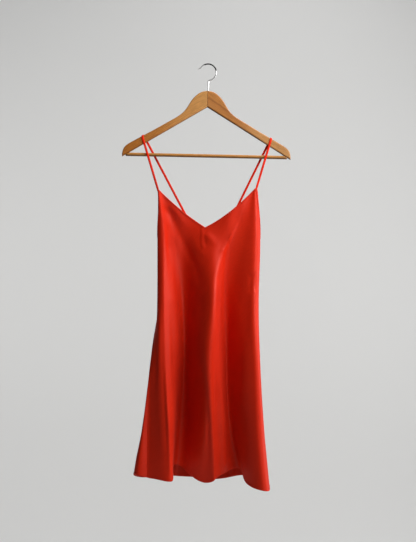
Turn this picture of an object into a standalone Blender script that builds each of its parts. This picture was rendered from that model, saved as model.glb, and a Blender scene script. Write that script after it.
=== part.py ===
"""Slip dress on a wooden hanger: a V-neck bias-cut slip with thin straps, hanging in soft flutes.

Run with: blender --background --python part.py, or from Blender's text editor.

Frame: metres, +Z up, +X to the right of someone who faces the front of the dress, +Y away from
them.  The origin is the inside top of the hook, where a rail or a peg carries everything.

The body of the dress is one smooth surface around a closed ring of fold lines.  Each fold line
is a row of FOLDS: it runs from the neck down to the hem through one place at each level.  A
point on the cloth is (a, z): a counts fold lines around the body, from 0 at the left side seam
over the front to SIDE_RIGHT and on over the back, and z is the height.  Every sewn piece is
a stretch of this surface with a wall on it, so the pieces meet a seam gap apart.
"""

import math

import bmesh
import bpy
import numpy as np
from mathutils import Vector

MM = 0.001

# ---------------------------------------------------------------- driving dimensions (mm)

CLOTH = 1.2                # wall of one layer of cloth
EDGE_CLOTH = 1.6           # wall of a folded binding
SEAM_GAP = 0.3             # between pieces that are sewn or rest together
BINDING_GAP = 0.7          # between a panel and its binding, as flat facets lean over a bend

STRAP_WIDTH = 6.0          # flat strap, which goes on as the armhole binding
STRAP_CLOTH = 1.4
STRAP_GAP = 0.45           # between a strap and the arm it bends over
NECK_BINDING = 4.5

HANGER_TILT = 1.2          # degrees, right side lower: the hanger is not quite balanced
ARM_THICKNESS = 12.0
ARM_EDGE_RADIUS = 3.0
ARM_BOTTOM_CENTRE = -113.0  # lower edge at the joint
ARM_BOTTOM_TIP = (222.5, -247.5)
HOOK_WIRE_RADIUS = 1.7
HOOK_RADIUS = 22.0         # to the middle of the wire
HOOK_START = 152.0         # degrees round the hook's circle, from +X, where its open end begins
HOOK_STOP = -78.0          # and where it turns down into the shank
HOOK_FLARE = (7.0, 205.0)  # length and heading in degrees of the straight tip
HOOK_BEND = 3.0            # radius of the turn into the shank
HOOK_SHANK_X = 1.6
HOOK_SHANK_END = -100.0
SHANK_HOLE_TOP = -40.0     # where its cutter begins, above the wood
BAR_RADIUS = 4.6
BAR_HEIGHT = -241.6
BAR_HALF_LENGTH = 213.0
STRAP_SEAT = 170.5         # where a strap crosses an arm, from the middle of the hanger
STRAP_SLANT = {"left": 4.0, "right": 0.8}  # how much nearer the middle it leaves the back
STRAP_ON_FACE = (-14.0, -8.0)  # heights below the arm's top where it lies on the arm's faces
STRAP_STEPS = 8            # mesh rows of a strap between the arm and the dress

# ---------------------------------------------------------------- fold table (mm)

# Heights of the columns of FOLDS: neck, bust, waist, hip, thigh and hem.
LEVELS = (-336.0, -461.0, -621.0, -761.0, -921.0, -1101.0)

# One row for each fold line, clockwise from the left side seam: its (x, y) at each level, and
# the height of the hem there.
FOLDS = (
    # name           neck, bust, waist, hip, thigh, hem, and the height of the hem
    ("side_left",    (-131, 25), (-131, 28), (-131, 16), (-147, -25), (-158, -41), (-159, -52), -1082),
    ("edge_left",    (-134, 2), (-134, 5), (-134, -8), (-135, -37), (-138, -51), (-134, -63), -1084),
    ("crest_1",      (-131, -9), (-119, -3), (-118, -22), (-123, -46), (-119, -62), (-97, -80), -1087),
    ("flank_1",      (-124, -4), (-110, 2), (-93, -4), (-92, -36), (-94, -57), (-90, -54), -1080),
    ("shoulder_1",   (-114, -3), (-94, 16), (-81, 19), (-73, 12), (-80, 14), (-96, 14), -1064),
    ("valley_1",     (-100, -2), (-82, 19), (-72, 30), (-64, 25), (-66, 36), (-85, 39), -1067),
    ("flank_2",      (-57, 4), (-55, 14), (-51, 20), (-44, -2), (-22, -36), (-46, -6), -1087),
    ("rise_2",       (-28, 16), (-29, 3), (-20, -28), (-15, -65), (0, -59), (-8, -34), -1099),
    ("crest_2",      (-5, 14), (11, -10), (14, -60), (12, -74), (13, -61), (14, -46), -1092),
    ("ridge_2",      (57, -10), (46, -14), (34, -13), (35, -18), (43, -22), (33, -27), -1079),
    ("valley_2",     (81, -14), (64, -12), (52, -4), (50, 5), (57, -7), (85, 11), -1068),
    ("flank_3",      (112, -9), (96, -18), (76, -23), (77, -35), (90, -52), (96, -50), -1093),
    ("crest_3",      (123, -11), (126, -27), (117, -51), (120, -79), (124, -91), (145, -106), -1105),
    ("edge_right",   (132, -6), (136, -12), (131, -33), (133, -60), (140, -76), (158, -63), -1110),
    ("side_right",   (131, 26), (134, 30), (129, 28), (131, 26), (139, 22), (157, 18), -1111),
    ("flute_4",      (118, 52), (116, 62), (114, 70), (118, 72), (125, 70), (140, 66), -1109),
    ("valley_4",     (80, 30), (81, 36), (82, 41), (86, 43), (91, 46), (98, 52), -1097),
    ("flute_5",      (44, 21), (44, 30), (46, 56), (49, 70), (56, 86), (62, 96), -1111),
    ("valley_5",     (2, 30), (2, 44), (4, 41), (6, 46), (8, 52), (14, 58), -1109),
    ("flute_6",      (-42, 19), (-41, 28), (-38, 60), (-38, 76), (-38, 91), (-34, 101), -1113),
    ("valley_6",     (-80, 32), (-80, 40), (-80, 46), (-81, 47), (-82, 52), (-84, 60), -1101),
    ("flute_7",      (-112, 50), (-112, 60), (-110, 70), (-114, 76), (-121, 86), (-129, 96), -1107),
    ("side_flute",   (-127, 46), (-127, 50), (-128, 54), (-141, 60), (-155, 68), (-177, 76), -1108),
    ("outer_left",   (-132, 36), (-132, 42), (-132, 42), (-151, -4), (-171, -34), (-194, -46), -1075),
)
NAMES = [row[0] for row in FOLDS]
AROUND = len(FOLDS)
CREST_2 = NAMES.index("crest_2")
SIDE_RIGHT = NAMES.index("side_right")
BACK_CENTRE = NAMES.index("valley_5")

# ---------------------------------------------------------------- edges of the cut (mm)

UNDERARM_LEFT = -465.0
UNDERARM_RIGHT = -470.0
CORNER_LEFT = (-130.6, -334.0)     # middle of the strap end on the front, x and z
CORNER_RIGHT = (126.8, -327.0)
V_POINT = (-8.1, -430.0)
NECK_SAG_LEFT = 5.0                # how far the neckline hangs under a straight line
NECK_SAG_RIGHT = 10.0
ARMHOLE_POWER = 2.0                # front armhole: 1 is straight, more is hollower
BACK_STRAP_LEFT = (-40.0, -432.0)  # middle of the strap end on the back, x and z
BACK_STRAP_RIGHT = (48.0, -432.0)
BACK_SIDE_POWER = 1.6
BACK_SCOOP = 13.0

FRONT_ARM_COLUMNS = 10     # mesh columns of a front armhole
ARM_COLUMN_SPREAD = 0.65   # under 1 sets them closer together towards the strap
FRONT_NECK_COLUMNS = 13    # of each half of the neckline
BACK_SIDE_COLUMNS = 10
BACK_NECK_COLUMNS = 12
PANEL_ROWS = 18
STRIP_LINES = 3            # mesh lines along a binding
FINE = 4000                # samples of a curve when a place on it is looked up

COLOURS = {
    # material: sRGB colour, roughness, metallic
    "satin": ((0.80, 0.14, 0.09), 0.40, 0.0),
    "wood": ((0.70, 0.45, 0.24), 0.45, 0.0),
    "chrome": ((0.80, 0.80, 0.80), 0.12, 1.0),
}


# ---------------------------------------------------------------- smooth curves

def spline_weights(knots, places, closed_length=None):
    """Weights of the knots' values in a smooth cubic curve, one row for each place.

    closed_length closes the curve: the first knot comes again that far after itself.
    """
    count = len(knots)
    closed = closed_length is not None
    ends = np.append(knots, knots[0] + closed_length) if closed else np.asarray(knots)
    steps = np.diff(ends)
    system = np.zeros((count, count))
    source = np.zeros((count, count))
    for k in range(count):
        before, after = (k - 1) % count, (k + 1) % count
        if closed or 0 < k < count - 1:
            h0, h1 = steps[(k - 1) % len(steps)], steps[k]
            system[k, before] += 1 / h0
            system[k, k] += 2 / h0 + 2 / h1
            system[k, after] += 1 / h1
            source[k, before] -= 3 / h0 ** 2
            source[k, k] += 3 / h0 ** 2 - 3 / h1 ** 2
            source[k, after] += 3 / h1 ** 2
        else:
            inner = after if k == 0 else before
            sign = 1 if k == 0 else -1
            h = steps[0] if k == 0 else steps[-1]
            system[k, k], system[k, inner] = 2, 1
            source[k, inner] += sign * 3 / h
            source[k, k] -= sign * 3 / h
    slopes = np.linalg.solve(system, source)
    places = np.asarray(places, dtype=float)
    left = np.clip(np.searchsorted(ends, places, side="right") - 1, 0, len(steps) - 1)
    right = (left + 1) % count
    h = steps[left]
    t = np.clip((places - ends[left]) / h, 0.0, 1.0)
    one = np.eye(count)
    weights = (2 * t ** 3 - 3 * t ** 2 + 1)[:, None] * one[left]
    weights += (3 * t ** 2 - 2 * t ** 3)[:, None] * one[right]
    weights += (h * (t ** 3 - 2 * t ** 2 + t))[:, None] * slopes[left]
    weights += (h * (t ** 3 - t ** 2))[:, None] * slopes[right]
    beyond = places - np.clip(places, ends[0], ends[-1])
    return weights + beyond[:, None] * np.where((places < ends[0])[:, None], slopes[0], slopes[-1])


def smooth_line(points, count):
    """Points evenly spread along a smooth open curve through the given 2-D points."""
    points = np.asarray(points, dtype=float)
    chords = np.sqrt(np.linalg.norm(np.diff(points, axis=0), axis=1))
    knots = np.concatenate(([0.0], np.cumsum(chords)))
    return spline_weights(knots, np.linspace(0, knots[-1], count)) @ points


# ---------------------------------------------------------------- surface of the body

FOLD_XY = np.array([row[1:1 + len(LEVELS)] for row in FOLDS], dtype=float)
FOLD_HEM = np.array([row[-1] for row in FOLDS], dtype=float)
CHORDS = np.linalg.norm(np.roll(FOLD_XY, -1, axis=0) - FOLD_XY, axis=2).mean(axis=1)
AROUND_KNOTS = np.concatenate(([0.0], np.cumsum(np.sqrt(CHORDS))))


def around_weights(a):
    """Weights of the fold lines at the places a around the body."""
    a = np.mod(np.asarray(a, dtype=float), AROUND)
    along = np.interp(a, np.arange(AROUND + 1), AROUND_KNOTS)
    return spline_weights(AROUND_KNOTS[:-1], along, AROUND_KNOTS[-1])


def down_weights(z):
    """Weights of the levels at the heights z."""
    return spline_weights(-np.asarray(LEVELS), -np.asarray(z, dtype=float))


def body(a, z):
    """Points on the middle of the cloth, in mm."""
    a, z = np.broadcast_arrays(np.asarray(a, dtype=float), np.asarray(z, dtype=float))
    flat_a, flat_z = a.ravel(), z.ravel()
    xy = np.einsum("pf,flc,pl->pc", around_weights(flat_a), FOLD_XY, down_weights(flat_z))
    return np.concatenate((xy, flat_z[:, None]), axis=1).reshape(a.shape + (3,))


def body_frame(a, z):
    """Step around per unit of a, and the outward unit normal, at points on the body."""
    step_a, step_z = 0.01, 0.5
    around = (body(np.add(a, step_a), z) - body(np.subtract(a, step_a), z)) / (2 * step_a)
    up = (body(a, np.add(z, step_z)) - body(a, np.subtract(z, step_z))) / (2 * step_z)
    normal = np.cross(around, up)
    return around, normal / np.linalg.norm(normal, axis=-1, keepdims=True)


def hem_height(a):
    """Height of the hem at the places a."""
    return around_weights(np.atleast_1d(a)) @ FOLD_HEM


def place_around(x, z, low, high):
    """The place a between two fold lines where the body at height z has the given x."""
    a = np.linspace(low, high, FINE)
    xs = body(a, np.full(a.shape, z))[:, 0]
    return a[np.argmin(np.abs(xs - x))]


def even_places(start, end, count):
    """Places around, evenly spaced by the length of cloth between them at the hip."""
    a = np.linspace(start, end, FINE)
    points = body(a, np.full(a.shape, LEVELS[3]))
    along = np.concatenate(([0.0], np.cumsum(np.linalg.norm(np.diff(points, axis=0), axis=1))))
    return np.interp(np.linspace(0, along[-1], count + 1), along, a)


# ---------------------------------------------------------------- finished edges

def shift_around(a, z, distance):
    """The place that lies the given distance further around from (a, z)."""
    around, _ = body_frame(a, z)
    return a + distance / np.linalg.norm(around)


CORNER_L = place_around(*CORNER_LEFT, NAMES.index("edge_left"), NAMES.index("flank_1"))
CORNER_R = place_around(*CORNER_RIGHT, NAMES.index("flank_3"), NAMES.index("edge_right"))
TOP_L = shift_around(CORNER_L, CORNER_LEFT[1], -STRAP_WIDTH / 2)
TOP_R = shift_around(CORNER_R, CORNER_RIGHT[1], STRAP_WIDTH / 2)
NECK_L = shift_around(CORNER_L, CORNER_LEFT[1], STRAP_WIDTH / 2)
NECK_R = shift_around(CORNER_R, CORNER_RIGHT[1], -STRAP_WIDTH / 2)
V_PLACE = place_around(*V_POINT, CREST_2 - 1, CREST_2 + 1)
STRAP_BACK_L = place_around(*BACK_STRAP_LEFT, BACK_CENTRE, BACK_CENTRE + 2) - AROUND
STRAP_BACK_R = place_around(*BACK_STRAP_RIGHT, BACK_CENTRE - 2, BACK_CENTRE)


def armhole_left(a):
    """Front armhole edge from the underarm, 0, to the strap at TOP_L."""
    return UNDERARM_LEFT + (CORNER_LEFT[1] - UNDERARM_LEFT) * (a / TOP_L) ** ARMHOLE_POWER


def armhole_right(a):
    """Front armhole edge from the underarm, SIDE_RIGHT, back to the strap at TOP_R."""
    t = (SIDE_RIGHT - a) / (SIDE_RIGHT - TOP_R)
    return UNDERARM_RIGHT + (CORNER_RIGHT[1] - UNDERARM_RIGHT) * np.abs(t) ** ARMHOLE_POWER


def neckline(a, start, start_z, sag):
    """One side of the front neckline: a line from the strap to the V, hanging by sag."""
    start_x = body(start, start_z)[0]
    z = np.full(np.shape(a), (start_z + V_POINT[1]) / 2)
    for _ in range(8):
        t = (body(a, z)[..., 0] - start_x) / (V_POINT[0] - start_x)
        z = start_z + (V_POINT[1] - start_z) * t - sag * 4 * t * (1 - t)
    return z


def neckline_left(a):
    """Left side of the neckline."""
    return neckline(a, NECK_L, CORNER_LEFT[1], NECK_SAG_LEFT)


def neckline_right(a):
    """Right side of the neckline."""
    return neckline(a, NECK_R, CORNER_RIGHT[1], NECK_SAG_RIGHT)


def back_side_left(a):
    """Back edge from the left underarm, a = 0, to the strap, at negative a."""
    end = shift_around(STRAP_BACK_L, BACK_STRAP_LEFT[1], STRAP_WIDTH / 2)
    t = np.clip(a / end, 0, 1)
    return UNDERARM_LEFT + (BACK_STRAP_LEFT[1] - UNDERARM_LEFT) * t ** BACK_SIDE_POWER


def back_side_right(a):
    """Back edge from the right underarm to the strap."""
    end = shift_around(STRAP_BACK_R, BACK_STRAP_RIGHT[1], -STRAP_WIDTH / 2)
    t = np.clip((a - SIDE_RIGHT) / (end - SIDE_RIGHT), 0, 1)
    return UNDERARM_RIGHT + (BACK_STRAP_RIGHT[1] - UNDERARM_RIGHT) * t ** BACK_SIDE_POWER


def back_neck(a):
    """Back neckline between the straps, a shallow scoop."""
    middle = (STRAP_BACK_R + STRAP_BACK_L + AROUND) / 2
    half = (STRAP_BACK_L + AROUND - STRAP_BACK_R) / 2
    return BACK_STRAP_LEFT[1] - BACK_SCOOP * (1 - ((np.mod(a, AROUND) - middle) / half) ** 2)


def inset(edge, start, end, distance):
    """An edge z = edge(a) moved into the cloth: a function of a, good from start to end."""
    margin = 0.6
    a = np.linspace(start - margin, end + margin, FINE)
    z = edge(a)
    around, _ = body_frame(a, z)
    metric = np.linalg.norm(around, axis=1)
    slope = np.gradient(z, a) / metric
    length = np.sqrt(1 + slope ** 2)
    moved_a = a + distance * slope / length / metric
    moved_z = z - distance / length
    order = np.argsort(moved_a)
    return lambda place: np.interp(place, moved_a[order], moved_z[order])


def crossing(first, second, low, high):
    """The place between low and high where two edges cross."""
    a = np.linspace(low, high, FINE)
    return a[np.argmin(np.abs(first(a) - second(a)))]


# ---------------------------------------------------------------- building solids

def plain_material(name):
    """A Principled material of COLOURS."""
    colour, roughness, metallic = COLOURS[name]
    material = bpy.data.materials.get(name) or bpy.data.materials.new(name)
    material.use_nodes = True
    shader = material.node_tree.nodes["Principled BSDF"]
    linear = [c / 12.92 if c <= 0.04045 else ((c + 0.055) / 1.055) ** 2.4 for c in colour]
    shader.inputs["Base Color"].default_value = (*linear, 1.0)
    shader.inputs["Roughness"].default_value = roughness
    shader.inputs["Metallic"].default_value = metallic
    return material


def add_object(name, mesh, material):
    """Link a mesh as a named, smooth-shaded object."""
    mesh.materials.append(plain_material(material))
    mesh.shade_smooth()
    mesh.set_sharp_from_angle(angle=math.radians(40))
    thing = bpy.data.objects.new(name, mesh)
    bpy.context.collection.objects.link(thing)
    return thing


def wall(name, middle, normals, thickness, material="satin"):
    """A closed wall on a grid of points (rows, columns, 3) in mm, half of it each side."""
    rows, columns = middle.shape[:2]
    bm = bmesh.new()
    skins = []
    for side in (0.5, -0.5):
        points = (middle + normals * thickness * side) * MM
        skins.append([[bm.verts.new(point) for point in row] for row in points])
    outer, inner = skins
    for j in range(rows - 1):
        for i in range(columns - 1):
            for skin, turn in ((outer, 1), (inner, -1)):
                a, b = skin[j][i], skin[j][i + 1]
                c, d = skin[j + 1][i + 1], skin[j + 1][i]
                bm.faces.new((a, d, c)[::turn])
                bm.faces.new((a, c, b)[::turn])
    rim = [(0, i) for i in range(columns)] + [(j, columns - 1) for j in range(1, rows)]
    rim += [(rows - 1, i) for i in range(columns - 2, -1, -1)]
    rim += [(j, 0) for j in range(rows - 2, 0, -1)]
    for (j0, i0), (j1, i1) in zip(rim, rim[1:] + rim[:1]):
        bm.faces.new((outer[j0][i0], outer[j1][i1], inner[j1][i1], inner[j0][i0]))
    bmesh.ops.recalc_face_normals(bm, faces=bm.faces)
    mesh = bpy.data.meshes.new(name)
    bm.to_mesh(mesh)
    bm.free()
    return add_object(name, mesh, material)


def cloth_strip(name, outer, inner, thickness):
    """A strip of binding between two edges given as (a, z) pairs of places on the body."""
    across = np.linspace(0, 1, STRIP_LINES)[:, None, None]
    places = outer + (inner - outer) * across
    _, normals = body_frame(places[..., 0], places[..., 1])
    return wall(name, body(places[..., 0], places[..., 1]), normals, thickness)


def cloth_panel(name, columns, top):
    """A panel from its top edge, one height for each column, down to the hem."""
    hem = hem_height(columns)
    down = np.linspace(0, 1, PANEL_ROWS + 1)[:, None]
    z = top + (hem - top) * down
    a = np.broadcast_to(columns, z.shape)
    _, normals = body_frame(a, z)
    return wall(name, body(a, z), normals, CLOTH)


# ---------------------------------------------------------------- front

def front_corner(side):
    """Everything about one strap corner of the front that its pieces share."""
    if side == "left":
        arm, neck, top = armhole_left, neckline_left, TOP_L
        arm_range, neck_range = (0.0, TOP_L), (TOP_L, V_PLACE)
        corner_z, turn = CORNER_LEFT[1], 1
    else:
        arm, neck, top = armhole_right, neckline_right, TOP_R
        arm_range, neck_range = (TOP_R, float(SIDE_RIGHT)), (V_PLACE, TOP_R)
        corner_z, turn = CORNER_RIGHT[1], -1
    arm_seam = inset(arm, *arm_range, STRAP_WIDTH)
    arm_panel = inset(arm, *arm_range, STRAP_WIDTH + BINDING_GAP)
    neck_seam = inset(neck, *neck_range, NECK_BINDING)
    neck_panel = inset(neck, *neck_range, NECK_BINDING + BINDING_GAP)
    search = 1.5
    low, high = sorted((top, top + turn * search))
    return {
        "arm": arm, "neck": neck, "top": top, "top_z": corner_z, "turn": turn,
        "arm_seam": arm_seam, "arm_panel": arm_panel,
        "neck_seam": neck_seam, "neck_panel": neck_panel,
        "arm_end": crossing(arm_seam, lambda a: np.full(a.shape, corner_z), low, high),
        "neck_start": crossing(arm_panel, neck_seam, low, high),
        "panel_corner": crossing(arm_panel, neck_panel, low, high),
    }


def arm_columns(side_seam, corner):
    """Mesh columns of a front armhole, closer together towards the steep end."""
    spread = np.linspace(0, 1, FRONT_ARM_COLUMNS + 1) ** ARM_COLUMN_SPREAD
    return side_seam + (corner - side_seam) * spread


def front_columns(left, right):
    """Mesh columns of the front, from the left side seam to the right one."""
    first = shift_around(0.0, LEVELS[3], SEAM_GAP / 2)
    last = shift_around(float(SIDE_RIGHT), LEVELS[3], -SEAM_GAP / 2)
    arm_left = arm_columns(first, left["panel_corner"])
    neck_left = even_places(left["panel_corner"], V_PLACE, FRONT_NECK_COLUMNS)
    neck_right = even_places(V_PLACE, right["panel_corner"], FRONT_NECK_COLUMNS)
    arm_right = arm_columns(last, right["panel_corner"])[::-1]
    return arm_left, neck_left, neck_right, arm_right


def make_front(left, right):
    """Front panel, cut in one, from both armholes and the neckline to the hem."""
    arm_left, neck_left, neck_right, arm_right = front_columns(left, right)
    columns = np.concatenate((arm_left, neck_left[1:], neck_right[1:], arm_right[1:]))
    top = np.concatenate((
        left["arm_panel"](arm_left),
        left["neck_panel"](neck_left[1:]),
        right["neck_panel"](neck_right[1:]),
        right["arm_panel"](arm_right[1:]),
    ))
    return cloth_panel("front_panel", columns, top)


def make_neck_binding(name, corner, seam_places):
    """Binding of half the neckline, mitred at the V and butted to the armhole binding."""
    turn = corner["turn"]
    start = shift_around(corner["arm_end"], corner["top_z"], turn * SEAM_GAP)
    end = shift_around(V_PLACE, V_POINT[1], -turn * SEAM_GAP / 2)
    inner = np.array(seam_places, dtype=float)
    inner[0] = corner["neck_start"]
    inner[-1] = end
    share = (inner - inner[0]) / (inner[-1] - inner[0])
    outer = start + (end - start) * share
    outer_edge = np.stack((outer, corner["neck"](outer)), axis=1)
    inner_edge = np.stack((inner, corner["neck_seam"](inner)), axis=1)
    return cloth_strip(name, outer_edge, inner_edge, EDGE_CLOTH)


# ---------------------------------------------------------------- back

def back_edges():
    """Seams under the bindings of the back, as functions of the place around."""
    left, right = STRAP_BACK_L + AROUND, STRAP_BACK_R
    return {
        "left": lambda gap: inset(lambda a: back_side_left(a - AROUND), left, AROUND,
                                  STRAP_WIDTH + gap),
        "right": lambda gap: inset(back_side_right, SIDE_RIGHT, right, STRAP_WIDTH + gap),
        "neck": lambda gap: inset(back_neck, right, left, NECK_BINDING + gap),
    }


def back_columns():
    """Mesh columns of the back from the right side seam to the left one, in three parts."""
    first = shift_around(float(SIDE_RIGHT), LEVELS[3], SEAM_GAP / 2)
    last = shift_around(float(AROUND), LEVELS[3], -SEAM_GAP / 2)
    strap_r = shift_around(STRAP_BACK_R, BACK_STRAP_RIGHT[1], STRAP_WIDTH / 2)
    strap_l = shift_around(STRAP_BACK_L + AROUND, BACK_STRAP_LEFT[1], -STRAP_WIDTH / 2)
    right = even_places(first, strap_r, BACK_SIDE_COLUMNS)
    neck = even_places(strap_r, strap_l, BACK_NECK_COLUMNS)
    left = even_places(strap_l, last, BACK_SIDE_COLUMNS)
    return right, neck, left


def make_back():
    """Back panel, cut in one, from the low back edge to the hem."""
    right, neck, left = back_columns()
    edges = back_edges()
    under_neck = edges["neck"](BINDING_GAP)
    side_right = edges["right"](BINDING_GAP)(right)
    side_left = edges["left"](BINDING_GAP)(left)
    side_right[-1] = min(side_right[-1], under_neck(right[-1]))
    side_left[0] = min(side_left[0], under_neck(left[0]))
    top = np.concatenate((side_right, under_neck(neck[1:-1]), side_left))
    return cloth_panel("back_panel", np.concatenate((right, neck[1:-1], left)), top)


def make_back_binding():
    """Binding of the scoop between the back straps."""
    _, neck, _ = back_columns()
    places = np.array(neck)
    places[0] = shift_around(neck[0], BACK_STRAP_RIGHT[1], SEAM_GAP)
    places[-1] = shift_around(neck[-1], BACK_STRAP_LEFT[1], -SEAM_GAP)
    seam = back_edges()["neck"](0.0)
    outer = np.stack((places, back_neck(places)), axis=1)
    inner = np.stack((places, seam(places)), axis=1)
    return cloth_strip("back_neck_binding", outer, inner, EDGE_CLOTH)


def make_armhole_binding(side, corner, front_places):
    """Binding from the front strap corner, under the arm, to the back strap."""
    right_columns, _, left_columns = back_columns()
    if side == "left":
        back_places, back_edge = left_columns - AROUND, back_side_left
        back_seam_z = back_edges()["left"](0.0)(left_columns)
    else:
        back_places, back_edge = right_columns[::-1], back_side_right
        back_seam_z = back_edges()["right"](0.0)(back_places)
    share = (front_places - front_places[0]) / (corner["arm_end"] - front_places[0])
    front_outer = front_places[0] + share * (corner["top"] - front_places[0])
    inner_a = np.concatenate((back_places, front_places, [corner["arm_end"]]))
    inner_z = np.concatenate((back_seam_z, corner["arm_seam"](front_places), [corner["top_z"]]))
    outer_a = np.concatenate((back_places, front_outer, [corner["top"]]))
    outer_z = np.concatenate((back_edge(back_places), corner["arm"](front_outer),
                              [corner["top_z"]]))
    outer = np.stack((outer_a, outer_z), axis=1)
    inner = np.stack((inner_a, inner_z), axis=1)
    return cloth_strip(f"armhole_binding_{side}", outer, inner, EDGE_CLOTH)


# ---------------------------------------------------------------- straps

ARM_TOP = (
    # upper outline of a hanger arm, from the joint to the tip: distance from the middle, height
    (0.0, -70.0), (17.0, -73.6), (32.0, -84.2), (43.0, -97.4), (52.0, -112.5), (61.0, -125.0),
    (76.0, -137.9), (104.0, -154.7), (138.0, -174.7), (168.0, -191.4), (196.0, -207.2),
    (213.0, -218.4), (220.0, -228.5), (223.0, -241.0),
)


def tilt(x, z):
    """World x and z of a point given in the level hanger's own x and z."""
    angle = math.radians(HANGER_TILT)
    return np.array((x * math.cos(angle) + z * math.sin(angle),
                     z * math.cos(angle) - x * math.sin(angle)))


def strap_seat(side):
    """Where a strap crosses the top of an arm, with unit vectors up from it and inward along it.

    All three are x and z in the world.
    """
    sign = -1 if side == "left" else 1
    outline = smooth_line(ARM_TOP, FINE)
    reach = 10.0
    places = np.array((STRAP_SEAT - reach, STRAP_SEAT, STRAP_SEAT + reach))
    inner, seat, outer = (tilt(sign * place, np.interp(place, outline[:, 0], outline[:, 1]))
                          for place in places)
    inward = (inner - outer) / np.linalg.norm(inner - outer)
    return seat, sign * np.array((inward[1], -inward[0])), inward


def over_the_arm(side, front_end, back_end):
    """Middle line of a strap over the arm: up the front face, over the top, down the back."""
    seat, normal, inward = strap_seat(side)
    clear = STRAP_GAP + STRAP_CLOTH / 2
    face = ARM_THICKNESS / 2 + clear
    bend = ARM_EDGE_RADIUS + clear
    heights = list(STRAP_ON_FACE)
    depths = [face] * len(heights)
    for degrees in (0, 30, 60, 90):
        turn = math.radians(degrees)
        heights.append(clear - bend + bend * math.sin(turn))
        depths.append(face - bend + bend * math.cos(turn))
    heights += heights[::-1]
    depths = [-depth for depth in depths] + depths[::-1]
    half = len(heights) // 2
    route = []
    for step, (height, depth) in enumerate(zip(heights, depths)):
        end = front_end if step < half else back_end
        slide = STRAP_SLANT[side] * min(max((step - 1) / (len(heights) - 3), 0), 1)
        heading = seat - end
        x, z = seat + inward * slide + heading * height / heading.dot(normal)
        route.append((x, depth, z))
    return np.array(route)


def ribbon(name, route, widths, width, thickness):
    """A flat ribbon on a route of points, with the direction of its width at each point.

    Its two ends keep exactly that direction, along the edges that they meet.
    """
    forward = np.gradient(route, axis=0)
    forward /= np.linalg.norm(forward, axis=1, keepdims=True)
    widths = np.array(widths)
    widths[1:-1] -= (forward * np.sum(widths * forward, axis=1, keepdims=True))[1:-1]
    widths /= np.linalg.norm(widths, axis=1, keepdims=True)
    normals = np.cross(widths, forward)
    normals /= np.linalg.norm(normals, axis=1, keepdims=True)
    grid = np.array([route - widths * width / 2, route + widths * width / 2])
    return wall(name, grid, np.array([normals, normals]), thickness)


def make_strap(side, corner):
    """One strap from the front corner, over the hanger arm, to the low back edge."""
    front_z = (CORNER_LEFT if side == "left" else CORNER_RIGHT)[1]
    back_x, back_z = BACK_STRAP_LEFT if side == "left" else BACK_STRAP_RIGHT
    back_place = STRAP_BACK_L if side == "left" else STRAP_BACK_R
    front_place = (corner["top"] + corner["arm_end"]) / 2
    front = body(front_place, front_z) + (0, 0, SEAM_GAP)
    back = body(back_place, back_z) + (0, 0, SEAM_GAP)
    front_width = body_frame(front_place, front_z)[0]
    back_width = -body_frame(back_place, back_z)[0]
    crossing_route = over_the_arm(side, front[[0, 2]], back[[0, 2]])
    rise = crossing_route[0] - front
    fall = back - crossing_route[-1]
    steps = np.linspace(0, 1, STRAP_STEPS)[:, None]
    route = np.concatenate((front + rise * steps[:-1], crossing_route,
                            crossing_route[-1] + fall * steps[1:]))
    _, normal, _ = strap_seat(side)
    level = np.array((normal[1], 0.0, -normal[0]))
    front_flat = np.array((rise[2], 0.0, -rise[0]))
    back_flat = np.array((-fall[2], 0.0, fall[0]))
    ends = [direction / np.linalg.norm(direction)
            for direction in (front_width, front_flat, level, back_flat, back_width)]
    count = len(route)
    turning_at = (0, STRAP_STEPS - 2, count // 2, count - STRAP_STEPS + 1, count - 1)
    widths = np.stack([np.interp(np.arange(count), turning_at, [end[axis] for end in ends])
                       for axis in range(3)], axis=1)
    return ribbon(f"strap_{side}", route, widths, STRAP_WIDTH, STRAP_CLOTH)


# ---------------------------------------------------------------- hanger

def cutter(name, radius, start, end, parent):
    """A cylinder to cut a round hole from start to end (mm)."""
    start, end = Vector(start) * MM, Vector(end) * MM
    bm = bmesh.new()
    bmesh.ops.create_cone(bm, cap_ends=True, segments=24, radius1=radius * MM,
                          radius2=radius * MM, depth=(end - start).length)
    turn = (end - start).to_track_quat("Z", "Y").to_matrix().to_4x4()
    bmesh.ops.transform(bm, matrix=turn, verts=bm.verts)
    bmesh.ops.translate(bm, vec=(start + end) / 2, verts=bm.verts)
    mesh = bpy.data.meshes.new(name)
    bm.to_mesh(mesh)
    bm.free()
    tool = bpy.data.objects.new(name, mesh)
    bpy.context.collection.objects.link(tool)
    tool.hide_render = True
    tool.display_type = "WIRE"
    tool.parent = parent
    return tool


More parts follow.
